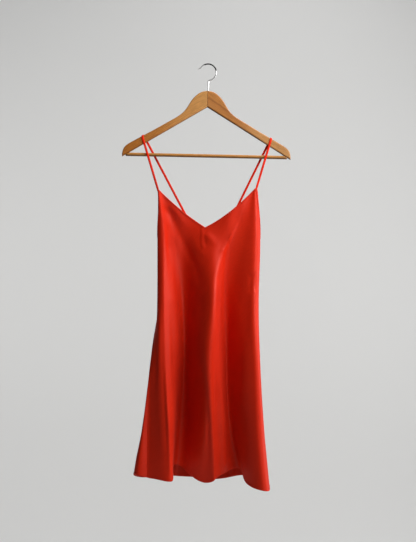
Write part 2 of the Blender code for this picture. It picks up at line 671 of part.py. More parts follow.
def make_arm(side, parent, tools):
    """One half of the hanger: a shaped blade with rounded edges, cut for the hook and the bar."""
    sign = -1 if side == "left" else 1
    top = smooth_line(ARM_TOP, 30)
    top[0, 0] = SEAM_GAP / 2
    bottom = [ARM_BOTTOM_TIP, (SEAM_GAP / 2, ARM_BOTTOM_CENTRE)]
    outline = [(sign * x, z) for x, z in (*top, *bottom)]
    half = ARM_THICKNESS / 2
    bm = bmesh.new()
    loop = [bm.verts.new((x * MM, -half * MM, z * MM)) for x, z in outline]
    face = bm.faces.new(loop)
    sweep = bmesh.ops.extrude_face_region(bm, geom=[face])
    moved = [item for item in sweep["geom"] if isinstance(item, bmesh.types.BMVert)]
    bmesh.ops.translate(bm, vec=(0, ARM_THICKNESS * MM, 0), verts=moved)
    bmesh.ops.recalc_face_normals(bm, faces=bm.faces)
    at_joint = SEAM_GAP * MM
    rims = [edge for edge in bm.edges
            if abs(edge.verts[0].co.y - edge.verts[1].co.y) < MM * 0.1
            and not all(abs(vert.co.x) < at_joint for vert in edge.verts)]
    bmesh.ops.bevel(bm, geom=rims, offset=ARM_EDGE_RADIUS * MM, segments=3, profile=0.5,
                    affect="EDGES", clamp_overlap=True)
    mesh = bpy.data.meshes.new(f"hanger_arm_{side}")
    bm.to_mesh(mesh)
    bm.free()
    arm = add_object(f"hanger_arm_{side}", mesh, "wood")
    arm.parent = parent
    for tool in tools:
        cut = arm.modifiers.new("cut", "BOOLEAN")
        cut.operation = "DIFFERENCE"
        cut.solver = "EXACT"
        cut.object = tool
    return arm


def make_bar(parent):
    """Trouser bar between the two arm ends."""
    bm = bmesh.new()
    bmesh.ops.create_cone(bm, cap_ends=True, segments=24, radius1=BAR_RADIUS * MM,
                          radius2=BAR_RADIUS * MM, depth=2 * BAR_HALF_LENGTH * MM)
    turn = Vector((1, 0, 0)).to_track_quat("Z", "Y").to_matrix().to_4x4()
    bmesh.ops.transform(bm, matrix=turn, verts=bm.verts)
    bmesh.ops.translate(bm, vec=(0, 0, BAR_HEIGHT * MM), verts=bm.verts)
    mesh = bpy.data.meshes.new("trouser_bar")
    bm.to_mesh(mesh)
    bm.free()
    bar = add_object("trouser_bar", mesh, "wood")
    bar.parent = parent
    return bar


def hook_route():
    """Middle line of the hook's wire from its free end to the end of the shank (x, z in mm)."""
    centre_z = HOOK_WIRE_RADIUS - HOOK_RADIUS
    arc = []
    for degrees in np.linspace(HOOK_START, HOOK_STOP, 31):
        angle = math.radians(degrees)
        arc.append((HOOK_RADIUS * math.cos(angle), centre_z + HOOK_RADIUS * math.sin(angle)))
    reach, heading = HOOK_FLARE[0], math.radians(HOOK_FLARE[1])
    tip = [(arc[0][0] + reach * share * math.cos(heading),
            arc[0][1] + reach * share * math.sin(heading)) for share in (1, 2 / 3, 1 / 3)]
    bend_centre = (HOOK_SHANK_X + HOOK_BEND, arc[-1][1] - HOOK_BEND)
    bend = []
    for degrees in (100, 120, 140, 160, 180):
        angle = math.radians(degrees)
        bend.append((bend_centre[0] + HOOK_BEND * math.cos(angle),
                     bend_centre[1] + HOOK_BEND * math.sin(angle)))
    shank_top = bend[-1][1] - HOOK_BEND
    shank = [(HOOK_SHANK_X, z) for z in np.linspace(shank_top, HOOK_SHANK_END, 8)]
    return tip + arc + bend + shank


def make_hook(parent):
    """Bent wire hook with its shank down in the head of the hanger."""
    route = hook_route()
    curve = bpy.data.curves.new("hook", "CURVE")
    curve.dimensions = "3D"
    curve.bevel_depth = HOOK_WIRE_RADIUS * MM
    curve.bevel_resolution = 3
    curve.use_fill_caps = True
    spline = curve.splines.new("POLY")
    spline.points.add(len(route) - 1)
    for point, (x, z) in zip(spline.points, route):
        point.co = (x * MM, 0.0, z * MM, 1.0)
    spline.use_smooth = True
    curve.materials.append(plain_material("chrome"))
    hook = bpy.data.objects.new("hook", curve)
    bpy.context.collection.objects.link(hook)
    hook.parent = parent
    return hook


def make_hanger():
    """Hanger of two wooden arms, a bar and a hook, tilted as it hangs."""
    hanging = bpy.data.objects.new("hanger_tilt", None)
    hanging.rotation_euler.y = math.radians(HANGER_TILT)
    bpy.context.collection.objects.link(hanging)
    shank_hole = cutter("shank_hole", HOOK_WIRE_RADIUS + SEAM_GAP, (HOOK_SHANK_X, 0, SHANK_HOLE_TOP),
                        (HOOK_SHANK_X, 0, HOOK_SHANK_END - SEAM_GAP), hanging)
    reach = BAR_HALF_LENGTH + SEAM_GAP
    bar_hole = cutter("bar_hole", BAR_RADIUS + SEAM_GAP, (-reach, 0, BAR_HEIGHT),
                      (reach, 0, BAR_HEIGHT), hanging)
    for side in ("left", "right"):
        make_arm(side, hanging, (shank_hole, bar_hole))
    make_bar(hanging)
    make_hook(hanging)


# ---------------------------------------------------------------- everything

def make_dress():
    """The sewn pieces of the dress."""
    corners = {side: front_corner(side) for side in ("left", "right")}
    make_front(corners["left"], corners["right"])
    arm_left, neck_left, neck_right, arm_right = front_columns(corners["left"], corners["right"])
    make_neck_binding("neck_binding_left", corners["left"], neck_left)
    make_neck_binding("neck_binding_right", corners["right"], neck_right[::-1])
    make_back()
    make_back_binding()
    make_armhole_binding("left", corners["left"], arm_left)
    make_armhole_binding("right", corners["right"], arm_right[::-1])
    for side, corner in corners.items():
        make_strap(side, corner)


def main():
    """Clear the scene and build the dress on its hanger."""
    for thing in list(bpy.data.objects):
        bpy.data.objects.remove(thing)
    make_dress()
    make_hanger()


main()
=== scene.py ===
# %% [markdown]
# # A satin slip dress on a wooden hanger
#
# This notebook dresses up a plain, measured model.  The model knows where every panel, strap and
# stick of wood is; here each of them gets its fine shape and its finish.  The dress is a slip of
# red satin, knee-length and cut on the bias: a front and a back, narrow bindings round the neck and
# the armholes, and two thin straps that go over the arms of a hanger.
#
# Sizes in the tables are in millimetres, because that is how a maker measures.  Everything that
# reaches Blender is multiplied by MM, because Blender works in metres.

# %% Load the measured model
import math

import bmesh
import bpy
import numpy as np
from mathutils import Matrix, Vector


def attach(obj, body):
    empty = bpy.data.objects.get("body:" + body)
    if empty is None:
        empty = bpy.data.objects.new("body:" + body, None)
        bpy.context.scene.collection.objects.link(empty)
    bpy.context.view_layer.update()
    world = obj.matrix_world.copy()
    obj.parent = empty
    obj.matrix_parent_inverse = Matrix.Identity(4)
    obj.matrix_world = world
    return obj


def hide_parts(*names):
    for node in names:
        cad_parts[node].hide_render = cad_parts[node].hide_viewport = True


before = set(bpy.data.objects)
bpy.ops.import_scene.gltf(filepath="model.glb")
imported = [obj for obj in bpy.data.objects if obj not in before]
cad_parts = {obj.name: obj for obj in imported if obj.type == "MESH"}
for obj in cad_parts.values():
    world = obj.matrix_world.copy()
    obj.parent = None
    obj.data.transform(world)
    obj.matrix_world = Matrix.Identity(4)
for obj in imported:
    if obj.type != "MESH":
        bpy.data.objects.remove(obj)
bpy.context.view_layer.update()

MM = 0.001
FINE = 4000                # points along a line that is measured or searched
SIDES = {"left": -1, "right": 1}

# %% [markdown]
# ## A few helpers
#
# A colour on screen is stored bent (sRGB), while light adds up in straight numbers.  Every colour
# below is written as a hex code, the way a paint chart does, and one function makes it straight.
# Another adds one node to a tree, sets its properties and plugs in its inputs, so that a whole
# material reads as a short list of nodes.  The rest are small jobs that come up again and again.

# %% Colours, nodes, objects and directions
def linear(hex_code):
    """A linear RGBA colour from an sRGB hex code."""
    parts = [int(hex_code[place:place + 2], 16) / 255 for place in (1, 3, 5)]
    straight = [c / 12.92 if c <= 0.04045 else ((c + 0.055) / 1.055) ** 2.4 for c in parts]
    return (*straight, 1.0)


def add_node(tree, kind, inputs=(), **settings):
    """Add a node with its properties; inputs maps a socket's name to a value or another socket."""
    made = tree.nodes.new(kind)
    for key, value in settings.items():
        setattr(made, key, value)
    for key, value in dict(inputs).items():
        if isinstance(value, bpy.types.NodeSocket):
            tree.links.new(value, made.inputs[key])
        else:
            made.inputs[key].default_value = value
    return made


def new_material(name):
    """An empty material with its tree and its output node."""
    material = bpy.data.materials.new(name)
    material.use_nodes = True
    material.node_tree.nodes.clear()
    output = material.node_tree.nodes.new("ShaderNodeOutputMaterial")
    return material, material.node_tree, output


def wave_scale(spacing):
    """Scale of a wave texture whose bands lie the given distance apart, in metres."""
    return math.tau / spacing / 20


def new_object(name, data):
    """An object in the scene that holds a mesh, a curve, a lamp or a camera."""
    made = bpy.data.objects.new(name, data)
    bpy.context.collection.objects.link(made)
    return made


def unit(vectors):
    """The same directions, each with the length one."""
    return vectors / np.linalg.norm(vectors, axis=-1, keepdims=True)


print("pure red in linear light:", [round(c, 3) for c in linear("#ff0000")])

# %% [markdown]
# ## The room, the camera and the light
#
# The dress hangs in front of a plain pale backdrop, a sheet of paper that curves from the wall
# down onto the floor so that no corner shows.  It stands far behind, where it can't shade the
# cloth or stand in the way when someone walks round the back.
#
# Satin shows its folds only if the light comes from the side.  One large soft lamp stands high on
# the right and does most of the work; the left side of each fold stays dark, and a weak lamp near
# the camera keeps those darks readable.  A rim lamp draws the right edge.  The rear lamp lights the
# back, and hangs high so that its shine runs down the cloth and not into the camera.  The last two
# face the backdrop, away from the dress: paper far behind would else come out grey.
#
# A plain sky colour is what the eye sees where the sheet ends, as when someone looks from behind.
# Only the camera sees it at that strength, so it throws no light into the dark side of a fold.

# %% Backdrop
FLOOR = -2.6               # well under the hem, so that little light comes back up from it
WALL = 3.4
COVE = 1.1                 # radius of the curve from the wall to the floor
COVE_STEPS = 16
ROOM_HALF_WIDTH = 7.0
ROOM_FRONT = -7.0
WALL_TOP = 4.0

profile = [(ROOM_FRONT, FLOOR)]
for step in range(COVE_STEPS + 1):
    turn = math.radians(90 * step / COVE_STEPS)
    profile.append((WALL - COVE + COVE * math.sin(turn), FLOOR + COVE - COVE * math.cos(turn)))
profile.append((WALL, WALL_TOP))
points = [(side * ROOM_HALF_WIDTH, y, z) for y, z in profile for side in (-1, 1)]
faces = [(2 * k, 2 * k + 1, 2 * k + 3, 2 * k + 2) for k in range(len(profile) - 1)]
sheet_mesh = bpy.data.meshes.new("backdrop")
sheet_mesh.from_pydata(points, [], faces)
sheet_mesh.shade_smooth()
backdrop = new_object("backdrop", sheet_mesh)

paper, tree, output = new_material("backdrop paper")
shader = add_node(tree, "ShaderNodeBsdfDiffuse", {"Color": linear("#e4e4e3"), "Roughness": 1.0})
tree.links.new(shader.outputs["BSDF"], output.inputs["Surface"])
sheet_mesh.materials.append(paper)
print("backdrop of", len(faces), "strips")

# %% Camera
CAMERA_DISTANCE = 2.6
CAMERA_HEIGHT = -0.546
CAMERA_SIDE = -0.0005
FRAME_HEIGHT = 1.434       # how much of the plane of the hanger the picture shows, in metres
SENSOR = 36.0

eye = new_object("camera", bpy.data.cameras.new("camera"))
eye.data.sensor_width = SENSOR
eye.data.lens = SENSOR * CAMERA_DISTANCE / FRAME_HEIGHT
eye.location = (CAMERA_SIDE, -CAMERA_DISTANCE, CAMERA_HEIGHT)
eye.rotation_euler = (math.radians(90), 0, 0)
bpy.context.scene.camera = eye
print("lens:", round(eye.data.lens, 1), "mm")

# %% Lamps
GLOW_STRENGTH = 0.034      # light that comes from all round
LAMPS = (
    # name, place, aimed at, width and height, watts
    ("key lamp", (1.24, -0.95, 0.83), (0, 0, -0.19), (1.88, 1.32), 76),
    ("front lamp", (1.04, -3.24, -0.74), (0, 0, -0.6), (2.0, 2.0), 8.2),
    ("rim lamp", (2.68, 1.32, -0.34), (0, 0, -0.6), (1.0, 2.2), 37),
    ("rear lamp", (0.7, 2.3, 2.5), (0, 0, -0.6), (1.6, 1.6), 50),
    ("left backdrop lamp", (-2.3, 1.0, -0.3), (-1.5, WALL, -1.3), (2.0, 1.2), 26),
    ("right backdrop lamp", (2.3, 1.0, -0.3), (1.5, WALL, -1.3), (2.0, 1.2), 24),
)

for name, place, target, size, watts in LAMPS:
    lamp = new_object(name, bpy.data.lights.new(name, "AREA"))
    lamp.data.shape = "RECTANGLE"
    lamp.data.size, lamp.data.size_y = size
    lamp.data.energy = watts
    lamp.location = place
    heading = [t - p for t, p in zip(target, place)]
    lamp.rotation_euler = Vector(heading).to_track_quat("-Z", "Y").to_euler()
    lamp.visible_camera = False

world = bpy.data.worlds.new("studio")
world.use_nodes = True
tree = world.node_tree
glow = tree.nodes["Background"]
glow.inputs["Color"].default_value = linear("#d6d8da")
glow.inputs["Strength"].default_value = GLOW_STRENGTH
far_wall = add_node(tree, "ShaderNodeBackground", {"Color": linear("#a4a5a6"), "Strength": 1.0})
ray = add_node(tree, "ShaderNodeLightPath")
choose = add_node(tree, "ShaderNodeMixShader", {
    0: ray.outputs["Is Camera Ray"], 1: glow.outputs["Background"],
    2: far_wall.outputs["Background"]})
tree.links.new(choose.outputs["Shader"], tree.nodes["World Output"].inputs["Surface"])
bpy.context.scene.world = world
bpy.context.scene.view_settings.view_transform = "Standard"
print(len(LAMPS), "lamps")

# %% [markdown]
# ## The shape of the hanging cloth
#
# A bias-cut slip has no darts: it hangs from its straps and the spare width falls into long soft
# flutes.  Each flute starts as next to nothing under the arm and opens towards the hem.  Modelling
# that by hand, point by point, would be endless, and a cloth simulation never repeats the same
# folds.  So the body is drawn the way a draper pins it, with fold lines.  Each row of FOLDS is
# one line from the neck to the hem, a crest, a flank or a valley, with its place from above at six
# heights.  A smooth curve goes round through all the lines, and another one down each of them.
#
# A point on the cloth is (a, z): a counts fold lines round the body from the left side seam, and z
# is the height.

# %% Fold lines
LEVELS = (-336.0, -461.0, -621.0, -761.0, -921.0, -1101.0)    # from the neck down to the hem

FOLDS = (
    # name, then (x, y) at neck, bust, waist, hip, thigh and hem, then the height of the hem
    ("side_left",    (-131, 25), (-131, 28), (-131, 16), (-147, -25), (-158, -41), (-159, -52), -1082),
    ("edge_left",    (-134, 2), (-134, 5), (-134, -8), (-135, -37), (-138, -51), (-134, -63), -1084),
    ("crest_1",      (-131, -9), (-119, -3), (-118, -22), (-123, -46), (-119, -62), (-97, -80), -1087),
    ("flank_1",      (-124, -4), (-110, 2), (-93, -4), (-92, -36), (-94, -57), (-90, -54), -1080),
    ("shoulder_1",   (-114, -3), (-94, 16), (-81, 19), (-73, 12), (-80, 14), (-96, 14), -1064),
    ("valley_1",     (-100, -2), (-82, 19), (-72, 30), (-64, 25), (-66, 36), (-85, 39), -1067),
    ("flank_2",      (-57, 4), (-55, 14), (-51, 20), (-44, -2), (-22, -36), (-46, -6), -1087),
    ("rise_2",       (-28, 16), (-29, 3), (-20, -28), (-15, -65), (0, -59), (-8, -34), -1099),
    ("crest_2",      (-5, 14), (11, -10), (14, -60), (12, -74), (13, -61), (14, -46), -1092),
    ("ridge_2",      (57, -10), (46, -14), (34, -13), (35, -18), (43, -22), (33, -27), -1079),
    ("valley_2",     (81, -14), (64, -12), (52, -4), (50, 5), (57, -7), (85, 11), -1068),
    ("flank_3",      (112, -9), (96, -18), (76, -23), (77, -35), (90, -52), (96, -50), -1093),
    ("crest_3",      (123, -11), (126, -27), (117, -51), (120, -79), (124, -91), (145, -106), -1105),
    ("edge_right",   (132, -6), (136, -12), (131, -33), (133, -60), (140, -76), (158, -63), -1110),
    ("side_right",   (131, 26), (134, 30), (129, 28), (131, 26), (139, 22), (157, 18), -1111),
    ("flute_4",      (118, 52), (116, 62), (114, 70), (118, 72), (125, 70), (140, 66), -1109),
    ("valley_4",     (80, 30), (81, 36), (82, 41), (86, 43), (91, 46), (98, 52), -1097),
    ("flute_5",      (44, 21), (44, 30), (46, 56), (49, 70), (56, 86), (62, 96), -1111),
    ("valley_5",     (2, 30), (2, 44), (4, 41), (6, 46), (8, 52), (14, 58), -1109),
    ("flute_6",      (-42, 19), (-41, 28), (-38, 60), (-38, 76), (-38, 91), (-34, 101), -1113),
    ("valley_6",     (-80, 32), (-80, 40), (-80, 46), (-81, 47), (-82, 52), (-84, 60), -1101),
    ("flute_7",      (-112, 50), (-112, 60), (-110, 70), (-114, 76), (-121, 86), (-129, 96), -1107),
    ("side_flute",   (-127, 46), (-127, 50), (-128, 54), (-141, 60), (-155, 68), (-177, 76), -1108),
    ("outer_left",   (-132, 36), (-132, 42), (-132, 42), (-151, -4), (-171, -34), (-194, -46), -1075),
)
NAMES = [row[0] for row in FOLDS]
AROUND = len(FOLDS)
HIP = LEVELS[3]
SIDE_RIGHT = NAMES.index("side_right")
CREST_2 = NAMES.index("crest_2")
BACK_CENTRE = NAMES.index("valley_5")
print(AROUND, "fold lines, the right side seam on number", SIDE_RIGHT)


# %% Smooth curves through the fold lines
def spline_weights(knots, places, closed_length=None):
    """Weights of the knots' values in a smooth cubic curve, one row for each place.

    closed_length closes the curve: the first knot comes again that far after itself.
    """
    count = len(knots)
    closed = closed_length is not None
    ends = np.append(knots, knots[0] + closed_length) if closed else np.asarray(knots)
    steps = np.diff(ends)
    system = np.zeros((count, count))
    source = np.zeros((count, count))
    for k in range(count):
        before, after = (k - 1) % count, (k + 1) % count
        if closed or 0 < k < count - 1:
            h0, h1 = steps[(k - 1) % len(steps)], steps[k]
            system[k, before] += 1 / h0
            system[k, k] += 2 / h0 + 2 / h1
            system[k, after] += 1 / h1
            source[k, before] -= 3 / h0 ** 2
            source[k, k] += 3 / h0 ** 2 - 3 / h1 ** 2
            source[k, after] += 3 / h1 ** 2
        else:
            inner = after if k == 0 else before
            sign = 1 if k == 0 else -1
            h = steps[0] if k == 0 else steps[-1]
            system[k, k], system[k, inner] = 2, 1
            source[k, inner] += sign * 3 / h
            source[k, k] -= sign * 3 / h
    slopes = np.linalg.solve(system, source)
    places = np.asarray(places, dtype=float)
    left = np.clip(np.searchsorted(ends, places, side="right") - 1, 0, len(steps) - 1)
    right = (left + 1) % count
    h = steps[left]
    t = np.clip((places - ends[left]) / h, 0.0, 1.0)
    one = np.eye(count)
    weights = (2 * t ** 3 - 3 * t ** 2 + 1)[:, None] * one[left]
    weights += (3 * t ** 2 - 2 * t ** 3)[:, None] * one[right]
    weights += (h * (t ** 3 - 2 * t ** 2 + t))[:, None] * slopes[left]
    weights += (h * (t ** 3 - t ** 2))[:, None] * slopes[right]
    beyond = places - np.clip(places, ends[0], ends[-1])
    return weights + beyond[:, None] * np.where((places < ends[0])[:, None], slopes[0], slopes[-1])


FOLD_XY = np.array([row[1:1 + len(LEVELS)] for row in FOLDS], dtype=float)
FOLD_HEM = np.array([row[-1] for row in FOLDS], dtype=float)
chords = np.linalg.norm(np.roll(FOLD_XY, -1, axis=0) - FOLD_XY, axis=2).mean(axis=1)
AROUND_KNOTS = np.concatenate(([0.0], np.cumsum(np.sqrt(chords))))


def around_weights(a):
    """Weights of the fold lines at the places a round the body."""
    a = np.mod(np.asarray(a, dtype=float), AROUND)
    along = np.interp(a, np.arange(AROUND + 1), AROUND_KNOTS)
    return spline_weights(AROUND_KNOTS[:-1], along, AROUND_KNOTS[-1])


def down_weights(z):
    """Weights of the levels at the heights z."""
    return spline_weights(-np.asarray(LEVELS), -np.asarray(z, dtype=float))


def body(a, z):
    """Points on the pinned shape, in mm."""
    a, z = np.broadcast_arrays(np.asarray(a, dtype=float), np.asarray(z, dtype=float))
    flat_a, flat_z = a.ravel(), z.ravel()
    xy = np.einsum("pf,flc,pl->pc", around_weights(flat_a), FOLD_XY, down_weights(flat_z))
    return np.concatenate((xy, flat_z[:, None]), axis=1).reshape(a.shape + (3,))


def body_frame(a, z):
    """Step round per unit of a, and the outward unit normal, at points on the body."""
    step_a, step_z = 0.01, 0.5
    around = (body(np.add(a, step_a), z) - body(np.subtract(a, step_a), z)) / (2 * step_a)
    up = (body(a, np.add(z, step_z)) - body(a, np.subtract(z, step_z))) / (2 * step_z)
    return around, unit(np.cross(around, up))


def hem_height(a):
    """Height of the hem at the places a."""
    return around_weights(np.atleast_1d(a)) @ FOLD_HEM


def along_path(points):
    """Distance along a line of points, from its start."""
    return np.concatenate(([0.0], np.cumsum(np.linalg.norm(np.diff(points, axis=0), axis=1))))


girth = along_path(body(np.linspace(0, AROUND, FINE), LEVELS[-1]))[-1]
print("round the hem:", round(girth), "mm")

# %% [markdown]
# ## Creases
#
# The fold lines give the big flutes.  Real satin adds smaller things on top: drag lines from the
# straps, a little tuck under the V, soft double ridges where a flute changes its mind.  Each row of
# CREASES is one of them, on the front, the back or a side.  It runs down through a few points, each
# with its own height over the cloth, a ridge (positive) or a trough (negative), and fades out at
# both ends.  Pushing the cloth along its own normal keeps the flutes' shape.

# %% Crease table
CREASES = (
    # name, side, half width, length of the fades, then (x, z, height) down the crease, with y in
    # the place of x on the sides
    ("crest ridge", "front", 4.0, 30, ((-129, -360, 0.6), (-120, -465, 0.7), (-116, -622, 2.6),
        (-112, -779, 1.7), (-103, -936, 5.5), (-98, -1067, 2.5))),
    ("crest hollow", "front", 7.9, 30, ((-106, -420, -0.8), (-103, -482, -4.2),
        (-97, -622, 1.0), (-88, -779, -7.3), (-84, -936, 0.1))),
    ("plateau ridge", "front", 11.9, 40, ((-82, -452, 2.4), (-75, -622, 1.4), (-65, -805, 1.4))),
    ("drag from left strap", "front", 11.5, 30, ((-106, -381, -5.4), (-79, -444, -1.7),
        (-40, -522, -2.8), (-15, -596, -1.0))),
    ("tuck ridge", "front", 2.4, 10, ((-15, -432, 2.0), (-15, -486, 1.6))),
    ("tuck", "front", 2.2, 10, ((-10, -436, -2.2), (-10, -476, -1.6))),
    ("drag from the V", "front", 11.7, 25, ((-2, -449, 3.7), (17, -483, -0.1), (36, -522, 0.0))),
    ("short ridge", "front", 3.1, 10, ((55, -462, -0.7), (55, -509, -0.3))),
    ("main ridge", "front", 7.7, 25, ((70, -415, 0.5), (52, -465, 2.2), (39, -491, 4.6),
        (18, -570, 0.9), (20, -701, 1.8), (24, -884, -5.3), (21, -1041, 0.6))),
    ("main hollow", "front", 5.8, 40, ((29, -583, 0.3), (26, -727, 0.9), (34, -936, 5.1),
        (36, -1067, 3.7))),
    ("second ridge", "front", 9.6, 40, ((47, -596, -1.9), (38, -727, 1.0), (40, -884, 1.6),
        (43, -1067, 6.7))),
    ("right notch", "front", 7.0, 12, ((112, -556, -1.9), (110, -601, -1.3))),
    ("right notch ridge", "front", 5.1, 12, ((119, -549, -1.0), (124, -596, -1.4))),
    ("right hollow", "front", 15.1, 50, ((90, -360, 0.6), (114, -491, -0.2), (100, -648, -3.3),
        (90, -884, 5.7), (80, -1067, 0.6))),
    ("right ridge", "front", 11.1, 50, ((87, -622, -0.9), (102, -832, 2.6), (108, -1067, 2.1))),
    ("flute hollow", "front", 5.0, 50, ((-150, -832, -0.5), (-156, -963, -1.0),
        (-159, -1083, -1.2))),
    ("flute ridge", "front", 9.0, 50, ((-140, -832, 0.6), (-145, -963, 1.2), (-148, -1083, 1.5))),
    ("neck drag right", "front", 3.5, 20, ((97, -357, 0.2), (76, -418, 0.3), (54, -465, 2.7))),
    ("left bodice ridge", "front", 11.0, 30, ((-95, -376, 2.4), (-51, -439, 0.0),
        (-15, -504, 1.2))),
    ("low centre hollow", "front", 13.0, 60, ((-60, -860, -0.5), (-64, -960, -5.0),
        (-68, -1060, -8.0))),
    ("back drag right", "back", 8.0, 25, ((72, -470, -2.4), (58, -530, -1.8), (30, -640, -0.8))),
    ("back drag left", "back", 9.0, 25, ((-70, -474, -2.8), (-48, -540, -2.2),
        (-18, -650, -0.8))),
    ("back tuck", "back", 4.0, 14, ((8, -474, 1.8), (5, -530, 1.2))),
    ("back ridge right", "back", 7.0, 50, ((76, -600, 0.8), (82, -760, 2.6), (88, -920, 1.4),
        (90, -1070, 2.6))),
    ("back hollow right", "back", 6.0, 50, ((36, -640, -0.6), (42, -780, -2.8),
        (48, -930, -1.4), (44, -1070, -3.0))),
    ("back middle ridge", "back", 8.0, 40, ((-6, -660, 1.0), (-4, -800, 2.4), (6, -940, 1.0))),
    ("back middle hollow", "back", 6.0, 50, ((-48, -720, -0.8), (-44, -880, -2.8),
        (-48, -1060, -2.0))),
    ("back ridge left", "back", 8.0, 50, ((-92, -560, 1.4), (-88, -700, 2.0), (-96, -900, 3.0),
        (-104, -1070, 1.4))),
    ("right side hollow", "right", 11.0, 50, ((24, -560, -1.2), (6, -700, -5.0),
        (-8, -880, -7.0), (-14, -1070, -5.2))),
    ("right side ridge", "right", 8.0, 50, ((46, -600, 1.4), (40, -780, 3.6), (34, -930, 4.6),
        (38, -1070, 3.4))),
    ("right front hollow", "right", 7.0, 50, ((-24, -700, -1.2), (-44, -860, -3.8),
        (-56, -1070, -4.6))),
    ("left flute, set in", "left", 55.0, 60, ((4, -740, -1.0), (-6, -834, -4.0),
        (-20, -900, -4.0), (-28, -967, -3.4), (-36, -1030, -0.6))),
    ("left side hollow", "left", 12.0, 50, ((30, -560, -1.0), (36, -720, -3.2), (30, -900, -4.4),
        (34, -1070, -3.4))),
    ("left side ridge", "left", 8.0, 50, ((54, -640, 0.8), (60, -820, 2.4), (64, -1070, 2.8))),
)
LEFT_SIDE = -120.0         # x past which the creases of a side begin to show
RIGHT_SIDE = 108.0
SIDE_FADE = 20.0           # mm further out they are there in full


def soft_step(t):
    """A soft step from 0 to 1 while t goes from 0 to 1."""
    t = np.clip(t, 0, 1)
    return t * t * (3 - 2 * t)


def crease_height(a, points):
    """How far the creases push the cloth outwards at points (mm) on it."""
    on_front = np.mod(a + 1, AROUND) < SIDE_RIGHT + 1
    x, y, level = np.moveaxis(points, -1, 0)
    share = {                       # how much of a crease on that side a point takes
        "front": np.where(on_front, 1.0, 0.0),
        "back": np.where(on_front, 0.0, 1.0),
        "right": np.clip((x - RIGHT_SIDE) / SIDE_FADE, 0, 1),
        "left": np.clip((LEFT_SIDE - x) / SIDE_FADE, 0, 1),
    }
    height = np.zeros(np.shape(a))
    for _, side, half_width, fade, line in CREASES:
        place, z, rise = (np.array(column, dtype=float) for column in zip(*line))
        across = x if side in ("front", "back") else y
        across = (across - np.interp(-level, -z, place)) / half_width
        ends = soft_step((z[0] - level) / fade + 0.5) * soft_step((level - z[-1]) / fade + 0.5)
        bump = np.interp(-level, -z, rise) * ends * np.exp(-across ** 2)
        height += share[side] * bump
    return height


def cloth(a, z):
    """Points on the finished cloth, and the outward normals of the pinned shape under them."""
    points = body(a, z)
    _, normal = body_frame(a, z)
    return points + normal * crease_height(np.asarray(a), points)[..., None], normal


print(len(CREASES), "creases")

# %% [markdown]
# ## The edges of the cut
#
# The neckline, the armholes and the back edge are lines drawn on that surface, as the height of the
# edge at each place round the body.  A panel's own edge is hidden under its binding, so "inset"
# moves a line into the cloth by a true distance.

# %% Edges
UNDERARM_LEFT = -465.0
UNDERARM_RIGHT = -470.0
CORNER_LEFT = (-130.6, -334.0)     # middle of the strap end on the front, x and z
CORNER_RIGHT = (126.8, -327.0)
V_POINT = (-8.1, -430.0)
NECK_SAG_LEFT = 5.0
NECK_SAG_RIGHT = 10.0
ARMHOLE_POWER = 2.0        # how late an armhole turns up towards its strap
BACK_STRAP_LEFT = (-40.0, -432.0)
BACK_STRAP_RIGHT = (48.0, -432.0)
BACK_SIDE_POWER = 1.6
BACK_SCOOP = 13.0
STRAP_WIDTH = 6.0          # of the armhole bindings too, which go on as the straps
NECK_BINDING = 4.5
RAW_EDGE = 0.6             # where a panel's raw edge lies in the width of its binding
SETTLE_ROUNDS = 8


def place_around(x, z, low, high):
    """The place a between two fold lines where the body at height z has the given x."""
    a = np.linspace(low, high, FINE)
    return a[np.argmin(np.abs(body(a, np.full(a.shape, z))[:, 0] - x))]


def shift_around(a, z, distance):
    """The place that lies the given distance further round from (a, z)."""
    around, _ = body_frame(a, z)
    return a + distance / np.linalg.norm(around)


CORNER_L = place_around(*CORNER_LEFT, NAMES.index("edge_left"), NAMES.index("flank_1"))
CORNER_R = place_around(*CORNER_RIGHT, NAMES.index("flank_3"), NAMES.index("edge_right"))
TOP_L = shift_around(CORNER_L, CORNER_LEFT[1], -STRAP_WIDTH / 2)
TOP_R = shift_around(CORNER_R, CORNER_RIGHT[1], STRAP_WIDTH / 2)
NECK_L = shift_around(CORNER_L, CORNER_LEFT[1], STRAP_WIDTH / 2)
NECK_R = shift_around(CORNER_R, CORNER_RIGHT[1], -STRAP_WIDTH / 2)
V_PLACE = place_around(*V_POINT, CREST_2 - 1, CREST_2 + 1)
STRAP_BACK_L = place_around(*BACK_STRAP_LEFT, BACK_CENTRE, BACK_CENTRE + 2)
STRAP_BACK_R = place_around(*BACK_STRAP_RIGHT, BACK_CENTRE - 2, BACK_CENTRE)


def armhole_left(a):
    """Front armhole edge from the underarm, 0, to the strap at TOP_L."""
    return UNDERARM_LEFT + (CORNER_LEFT[1] - UNDERARM_LEFT) * (a / TOP_L) ** ARMHOLE_POWER


def armhole_right(a):
    """Front armhole edge from the underarm, SIDE_RIGHT, back to the strap at TOP_R."""
    t = np.abs((SIDE_RIGHT - a) / (SIDE_RIGHT - TOP_R))
    return UNDERARM_RIGHT + (CORNER_RIGHT[1] - UNDERARM_RIGHT) * t ** ARMHOLE_POWER


def neckline(a, start, start_z, sag):
    """One side of the front neckline: a line from the strap to the V, hanging by sag.

    The cloth leans, so x depends on z; a few rounds settle the two.
    """
    start_x = body(start, start_z)[0]
    z = np.full(np.shape(a), (start_z + V_POINT[1]) / 2)
    for _ in range(SETTLE_ROUNDS):
        t = (body(a, z)[..., 0] - start_x) / (V_POINT[0] - start_x)
        z = start_z + (V_POINT[1] - start_z) * t - sag * 4 * t * (1 - t)
    return z


def neckline_left(a):
    """Left side of the neckline."""
    return neckline(a, NECK_L, CORNER_LEFT[1], NECK_SAG_LEFT)


def neckline_right(a):
    """Right side of the neckline."""
    return neckline(a, NECK_R, CORNER_RIGHT[1], NECK_SAG_RIGHT)


